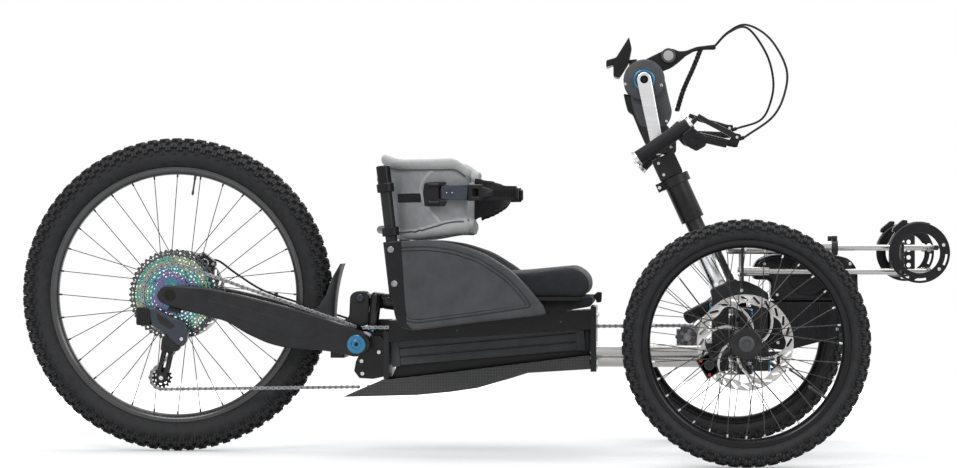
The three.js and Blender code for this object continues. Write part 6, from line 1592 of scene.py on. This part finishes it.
class HANDCYCLE_OT_backrest(bpy.types.Operator):
    """Backrest posts and bars, padded torso wrap with piping, belly pad, and the two chest straps"""

    bl_idname = "handcycle.backrest"
    bl_label = "Backrest and wrap"

    def execute(self, context):
        black, steel = "frame_black", "bright_steel"
        low, high = np.array([-163.8, 351.8]), np.array([-197.8, 640.0])
        way = unit(high - low)

        def at(z, side):
            """Point on a post's axis at a height."""
            p = low + way * (z - low[1]) / way[1]
            return np.array([p[0], side * POST_Y, p[1]])

        forms = []
        axis = np.array([way[0], 0, way[1]])
        for side in (-1, 1):
            a, b = at(low[1], side), at(high[1], side)
            forms.append((rod(a, b, 13, 1.5, 48), black))
            forms.append((rod(at(598, side), b, 15.4, 2.0, 48), "gloss_black"))
            for z in (582, 486):
                forms.append((turned([[0, 13], [0, 18], [1, 19], [18, 19], [19, 18], [19, 13]], at(z, side),
                        axis, 48, True), "smooth_plastic"))
        for z in (500, 612):
            line = [at(z, -1), [-211.4, -62, z], [-211.4, 0, z], [-211.4, 62, z], at(z, 1)]
            forms.append((carried(smooth_path(line, 48), circle(9, 24), (0, 0, 1)), black))
        piece("backrest_tubes", "backrest", forms, ("backrest_frame",), sharp=40)

        degrees = np.linspace(66, 294, 73)
        turn = np.radians(degrees)
        share = np.abs(degrees - 180) / 114

        def ease(start, end):
            """Smooth step of the share of the way to the wrap's front edges."""
            t = np.clip((share - start) / (end - start), 0, 1)
            return t * t * (3 - 2 * t)

        low_z = 475 + 11 * ease(0.55, 0.95)
        high_z = 671 - 13 * ease(0.1, 0.45) - 22 * ease(0.86, 1.0)
        depth, width = 127.0, 158.0
        rolls = 12.5 + 6.5 * ease(0.4, 0.9), 13.5 + 0 * share
        body = rolled_band(turn, depth, width, WRAP_X, 12, rolls, low_z, high_z, 16.0)
        mesh = swell("torso_wrap_padded", body, "wrap_cloth", 4.5)
        mesh.materials.append(MATERIALS["wrap_roll"])
        centres = points_of(mesh.polygons, "center") / MM
        round_to = np.degrees(np.arctan2(np.abs(centres[:, 1]) / width, (centres[:, 0] - WRAP_X) / depth))
        order = np.argsort(degrees[:37])
        top = np.interp(round_to, degrees[:37][order], (high_z - 2 * rolls[1])[:37][order])
        foot = np.interp(round_to, degrees[:37][order], (low_z + 2 * rolls[0])[:37][order])
        edges = (centres[:, 2] > top) | (centres[:, 2] < foot)
        mesh.polygons.foreach_set("material_index", edges.astype(np.int32))
        surface = surface_of(mesh)
        soft("torso_wrap_padded", mesh, "backrest", ("torso_wrap",))

        def round_line(first, last, z, count):
            """Line just outside the wrap between two angles (degrees from the front), with its heights."""
            a = np.radians(np.linspace(first, last, count))
            out = 20.0
            return np.column_stack([WRAP_X + (depth + out) * np.cos(a), (width + out) * np.sin(a), z])

        inner = np.column_stack([WRAP_X + (depth - 20) * np.cos(turn), (width - 20) * np.sin(turn)])
        trims, seams, bands = [], [], []
        for z in (high_z - 2 * rolls[1], low_z + 2 * rolls[0]):
            trims.append(strip_on(surface, round_line(66, 294, z, 73)[2:-2], 1.6, 1.8))
            trims.append(strip_on(surface, np.column_stack([inner, z])[2:-2], 1.6, 1.8))
        for side in (-1, 1):
            seam = smooth_path([[-84, 632], [-112, 597], [-110, 570], [-96, 542], [-72, 514]], 24)
            y = (width + 12) * np.sqrt(1 - ((seam[:, 0] - WRAP_X) / (depth + 12)) ** 2)
            seam = np.column_stack([seam[:, 0], side * y, seam[:, 1]])
            seams.append(strip_on(surface, seam, 4.0, 1.2))
            ends = (180 - 35 * side, 180 - 66 * side) if side > 0 else (215, 246)
            bands.append(strip_on(surface, round_line(*ends, np.full(16, 568.0), 16), 10.0, 1.0))
        piece("wrap_trim", "backrest", [
            (joined(trims), "piping"), (joined(seams), "wrap_roll"),
            (joined(bands), "lining")])

        turn = np.radians(np.linspace(-78, 78, 41))
        aside = (np.abs(turn) / turn[-1]) ** 0.8
        body = padded_band(turn, 90, 118, -20, 9, 562 - 42 * aside, 594 + 21 * aside)
        mesh = swell("belly_pad_padded", body, "lining", 4.5)
        soft("belly_pad_padded", mesh, "backrest", ("belly_pad",))
        strap = [[-104, 171], [-60, 178], [-20, 173], [6, 163], [40, 143], [72, 122], [93, 102]]
        for name, side in SIDES:
            line = smooth_path(np.array(strap) * [1, side], 60)
            node_low, node_high = (np.array(v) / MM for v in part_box(f"{name}_chest_strap"))
            z0, z1 = node_low[2], node_high[2]
            mid = (z0 + z1) / 2
            path = np.column_stack([line, np.full(60, mid)])
            band = carried(path, [[-1.4, -16], [1.4, -16], [1.4, 16], [-1.4, 16]], (0, 0, 1))
            teeth = []
            for k in range(34, 58):
                p = path[k]
                tangent = unit(path[min(k + 1, 59)] - path[k - 1])
                normal = np.cross(tangent, [0, 0, 1]) * side * -1
                teeth.append(rod(p + normal * 1.6 - [0, 0, 7], p + normal * 1.6 + [0, 0, 7], 1.1, 0.3, 6))

            def seat_of(k):
                """Matrix at a point of the strap: X along it, Y towards the wrap, Z up."""
                tangent = unit(path[k + 1] - path[k - 1])
                m = np.eye(4)
                m[:3, 0], m[:3, 1] = tangent, np.cross(tangent, [0, 0, 1]) * side
                m[:3, 2], m[:3, 3] = [0, 0, 1], path[k]
                return m

            holder = pressed(fillet([[-24, -30], [22, -30], [25, -17], [8, -14], [8, 14], [25, 18],
                    [22, 24], [-24, 22], [-28, 0]], 4), -9, -1, edge=1.6)
            lobes = [rod((-16, -7, z), (10, -7, z), 5.5, 1.5, 20) for z in (-22, 17)]
            plate = pressed(fillet([[-26, -15], [30, -17], [34, 17], [-26, 15]], 5), -7, -1, edge=1.4)
            dots = [bolt((x, -7, 0), (0, -1, 0), 1.5, 0.7) for x in (-14, -2)]
            frame_ring = pressed(fillet([[-16, -18], [18, -18], [20, 18], [-16, 18]], 5), -13, -1,
                [fillet([[-6, -8], [8, -8], [8, 8], [-6, 8]], 3)], edge=1.6)
            paddle = pressed(fillet([[10, -13], [40, -8], [44, 6], [12, 14]], 5), -15, -3, edge=2.0)
            tip = rod(path[-1] - [0, 0, 13], path[-1] + [0, 0, 13], 5.5, 3.0, 24)
            forms = [(band, "webbing"), (joined([*teeth, tip]), "smooth_plastic"),
                     (moved(joined([holder, *lobes]), seat_of(7)), "smooth_plastic"),
                     (moved(plate, seat_of(17)), "slate_plastic"),
                     (moved(joined(dots), seat_of(17)), steel),
                     (moved(joined([frame_ring, paddle]), seat_of(29)), "smooth_plastic")]
            piece(f"{name}_strap_ladder", "backrest", forms, (f"{name}_chest_strap",),
                sharp=40)
        return {"FINISHED"}


def any_ray(tree, first, *others):
    """Output that is 1 for a ray of any of the named kinds and 0 for the rest."""
    path = node_of(tree, "ShaderNodeLightPath")
    most = path.outputs[first]
    for kind in others:
        most = node_of(tree, "ShaderNodeMath", most, path.outputs[kind], operation="MAXIMUM").outputs[0]
    return most


class HANDCYCLE_OT_stage(bpy.types.Operator):
    """Pale floor, soft studio lamps, world and the camera at the photograph's angle"""

    bl_idname = "handcycle.stage"
    bl_label = "Stage"

    def execute(self, context):
        scene = context.scene
        eye = bpy.data.cameras.new("camera")
        eye.sensor_width, eye.lens, eye.clip_end = 36.0, CAMERA_LENS, 60.0
        camera = bpy.data.objects.new("camera", eye)
        yaw, pitch = math.radians(CAMERA_TURN), math.radians(CAMERA_TILT)
        look = Vector((-math.sin(yaw) * math.cos(pitch), math.cos(yaw) * math.cos(pitch), math.sin(pitch)))
        camera.rotation_euler = look.to_track_quat("-Z", "Y").to_euler()
        camera.location = CAMERA_PLACE
        scene.collection.objects.link(camera)
        scene.camera = camera

        floor = bpy.data.meshes.new("floor")
        floor.from_pydata([(-3, -3, 0), (3, -3, 0), (3, 3, 0), (-3, 3, 0)], [], [(0, 1, 2, 3)])
        mat = bpy.data.materials.new("floor_paper")
        mat.use_nodes = True
        tree = mat.node_tree
        tree.nodes.clear()
        paint = node_of(tree, "ShaderNodeBsdfDiffuse", (0.56, 0.56, 0.56, 1))
        place = node_of(tree, "ShaderNodeTexCoord").outputs["Object"]
        far = node_of(tree, "ShaderNodeVectorMath", place, operation="LENGTH").outputs["Value"]
        rise = node_of(tree, "ShaderNodeMapRange", far, **{"From Min": 1.3, "From Max": 2.0, "To Min": 0.36,
                "To Max": 1.0})
        seen = any_ray(tree, "Is Camera Ray", "Is Glossy Ray")
        level = node_of(tree, "ShaderNodeMath", seen, rise.outputs["Result"], operation="MULTIPLY")
        glow = node_of(tree, "ShaderNodeEmission", Strength=level.outputs[0])
        both = node_of(tree, "ShaderNodeAddShader", paint.outputs[0], glow.outputs[0])
        node_of(tree, "ShaderNodeOutputMaterial", both.outputs[0])
        floor.materials.append(mat)
        ground = bpy.data.objects.new("floor", floor)
        scene.collection.objects.link(ground)

        world = bpy.data.worlds.new("studio")
        scene.world = world
        world.use_nodes = True
        tree = world.node_tree
        tree.nodes.clear()
        dim = node_of(tree, "ShaderNodeBackground", (0.9, 0.95, 1.0, 1), 0.55)
        white = node_of(tree, "ShaderNodeBackground", (1, 1, 1, 1), 1.0)
        seen = any_ray(tree, "Is Camera Ray", "Is Glossy Ray", "Is Transmission Ray")
        pick = node_of(tree, "ShaderNodeMixShader", seen, dim.outputs[0], white.outputs[0])
        node_of(tree, "ShaderNodeOutputWorld", pick.outputs[0])

        # name, place and size in metres, power in watts
        lamps = [("key", (-1.6, -3.2, 3.4), 2.0, 92.0), ("fill", (3.0, -2.6, 2.2), 2.2, 45.0),
                 ("top", (0.2, 0.4, 3.8), 3.2, 90.0), ("back", (0.5, 3.4, 2.6), 2.6, 55.0)]
        for name, place, size, power in lamps:
            data = bpy.data.lights.new(name, "AREA")
            data.shape, data.size, data.energy = "DISK", size, power
            lamp = bpy.data.objects.new(name, data)
            lamp.location = place
            lamp.rotation_euler = (Vector((0, 0, 0.4)) - Vector(place)).to_track_quat("-Z", "Y").to_euler()
            scene.collection.objects.link(lamp)
        scene.view_settings.view_transform = "Standard"
        return {"FINISHED"}


ORDER = (
    HANDCYCLE_OT_stage, HANDCYCLE_OT_hoses, HANDCYCLE_OT_tyres, HANDCYCLE_OT_wheels, HANDCYCLE_OT_cassette,
    HANDCYCLE_OT_chains, HANDCYCLE_OT_derailleur, HANDCYCLE_OT_swingarm, HANDCYCLE_OT_shock,
    HANDCYCLE_OT_frame, HANDCYCLE_OT_linkage, HANDCYCLE_OT_column, HANDCYCLE_OT_crank_head,
    HANDCYCLE_OT_cranks, HANDCYCLE_OT_drive, HANDCYCLE_OT_foot_cradle, HANDCYCLE_OT_seat,
    HANDCYCLE_OT_backrest)


class HANDCYCLE_PT_panel(bpy.types.Panel):
    """Buttons and settings of the handcycle"""

    bl_idname = "HANDCYCLE_PT_panel"
    bl_label = "Handcycle"
    bl_space_type = "VIEW_3D"
    bl_region_type = "UI"
    bl_category = "Handcycle"

    def draw(self, context):
        for name in HandcycleLook.__annotations__:
            self.layout.prop(context.scene.handcycle, name)
        for kind in ORDER:
            self.layout.operator(kind.bl_idname)


CLASSES = (HandcycleLook, *ORDER, HANDCYCLE_PT_panel)


def register():
    """Registers the classes and the scene's settings."""
    for kind in CLASSES:
        bpy.utils.register_class(kind)
    bpy.types.Scene.handcycle = PointerProperty(type=HandcycleLook)


def unregister():
    """Takes them away again."""
    del bpy.types.Scene.handcycle
    for kind in reversed(CLASSES):
        bpy.utils.unregister_class(kind)


def main():
    """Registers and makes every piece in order."""
    register()
    make_materials(bpy.context.scene.handcycle)
    for kind in ORDER:
        getattr(bpy.ops.handcycle, kind.bl_idname.partition(".")[2])()
    bpy.context.view_layer.update()


if __name__ == "__main__":
    main()
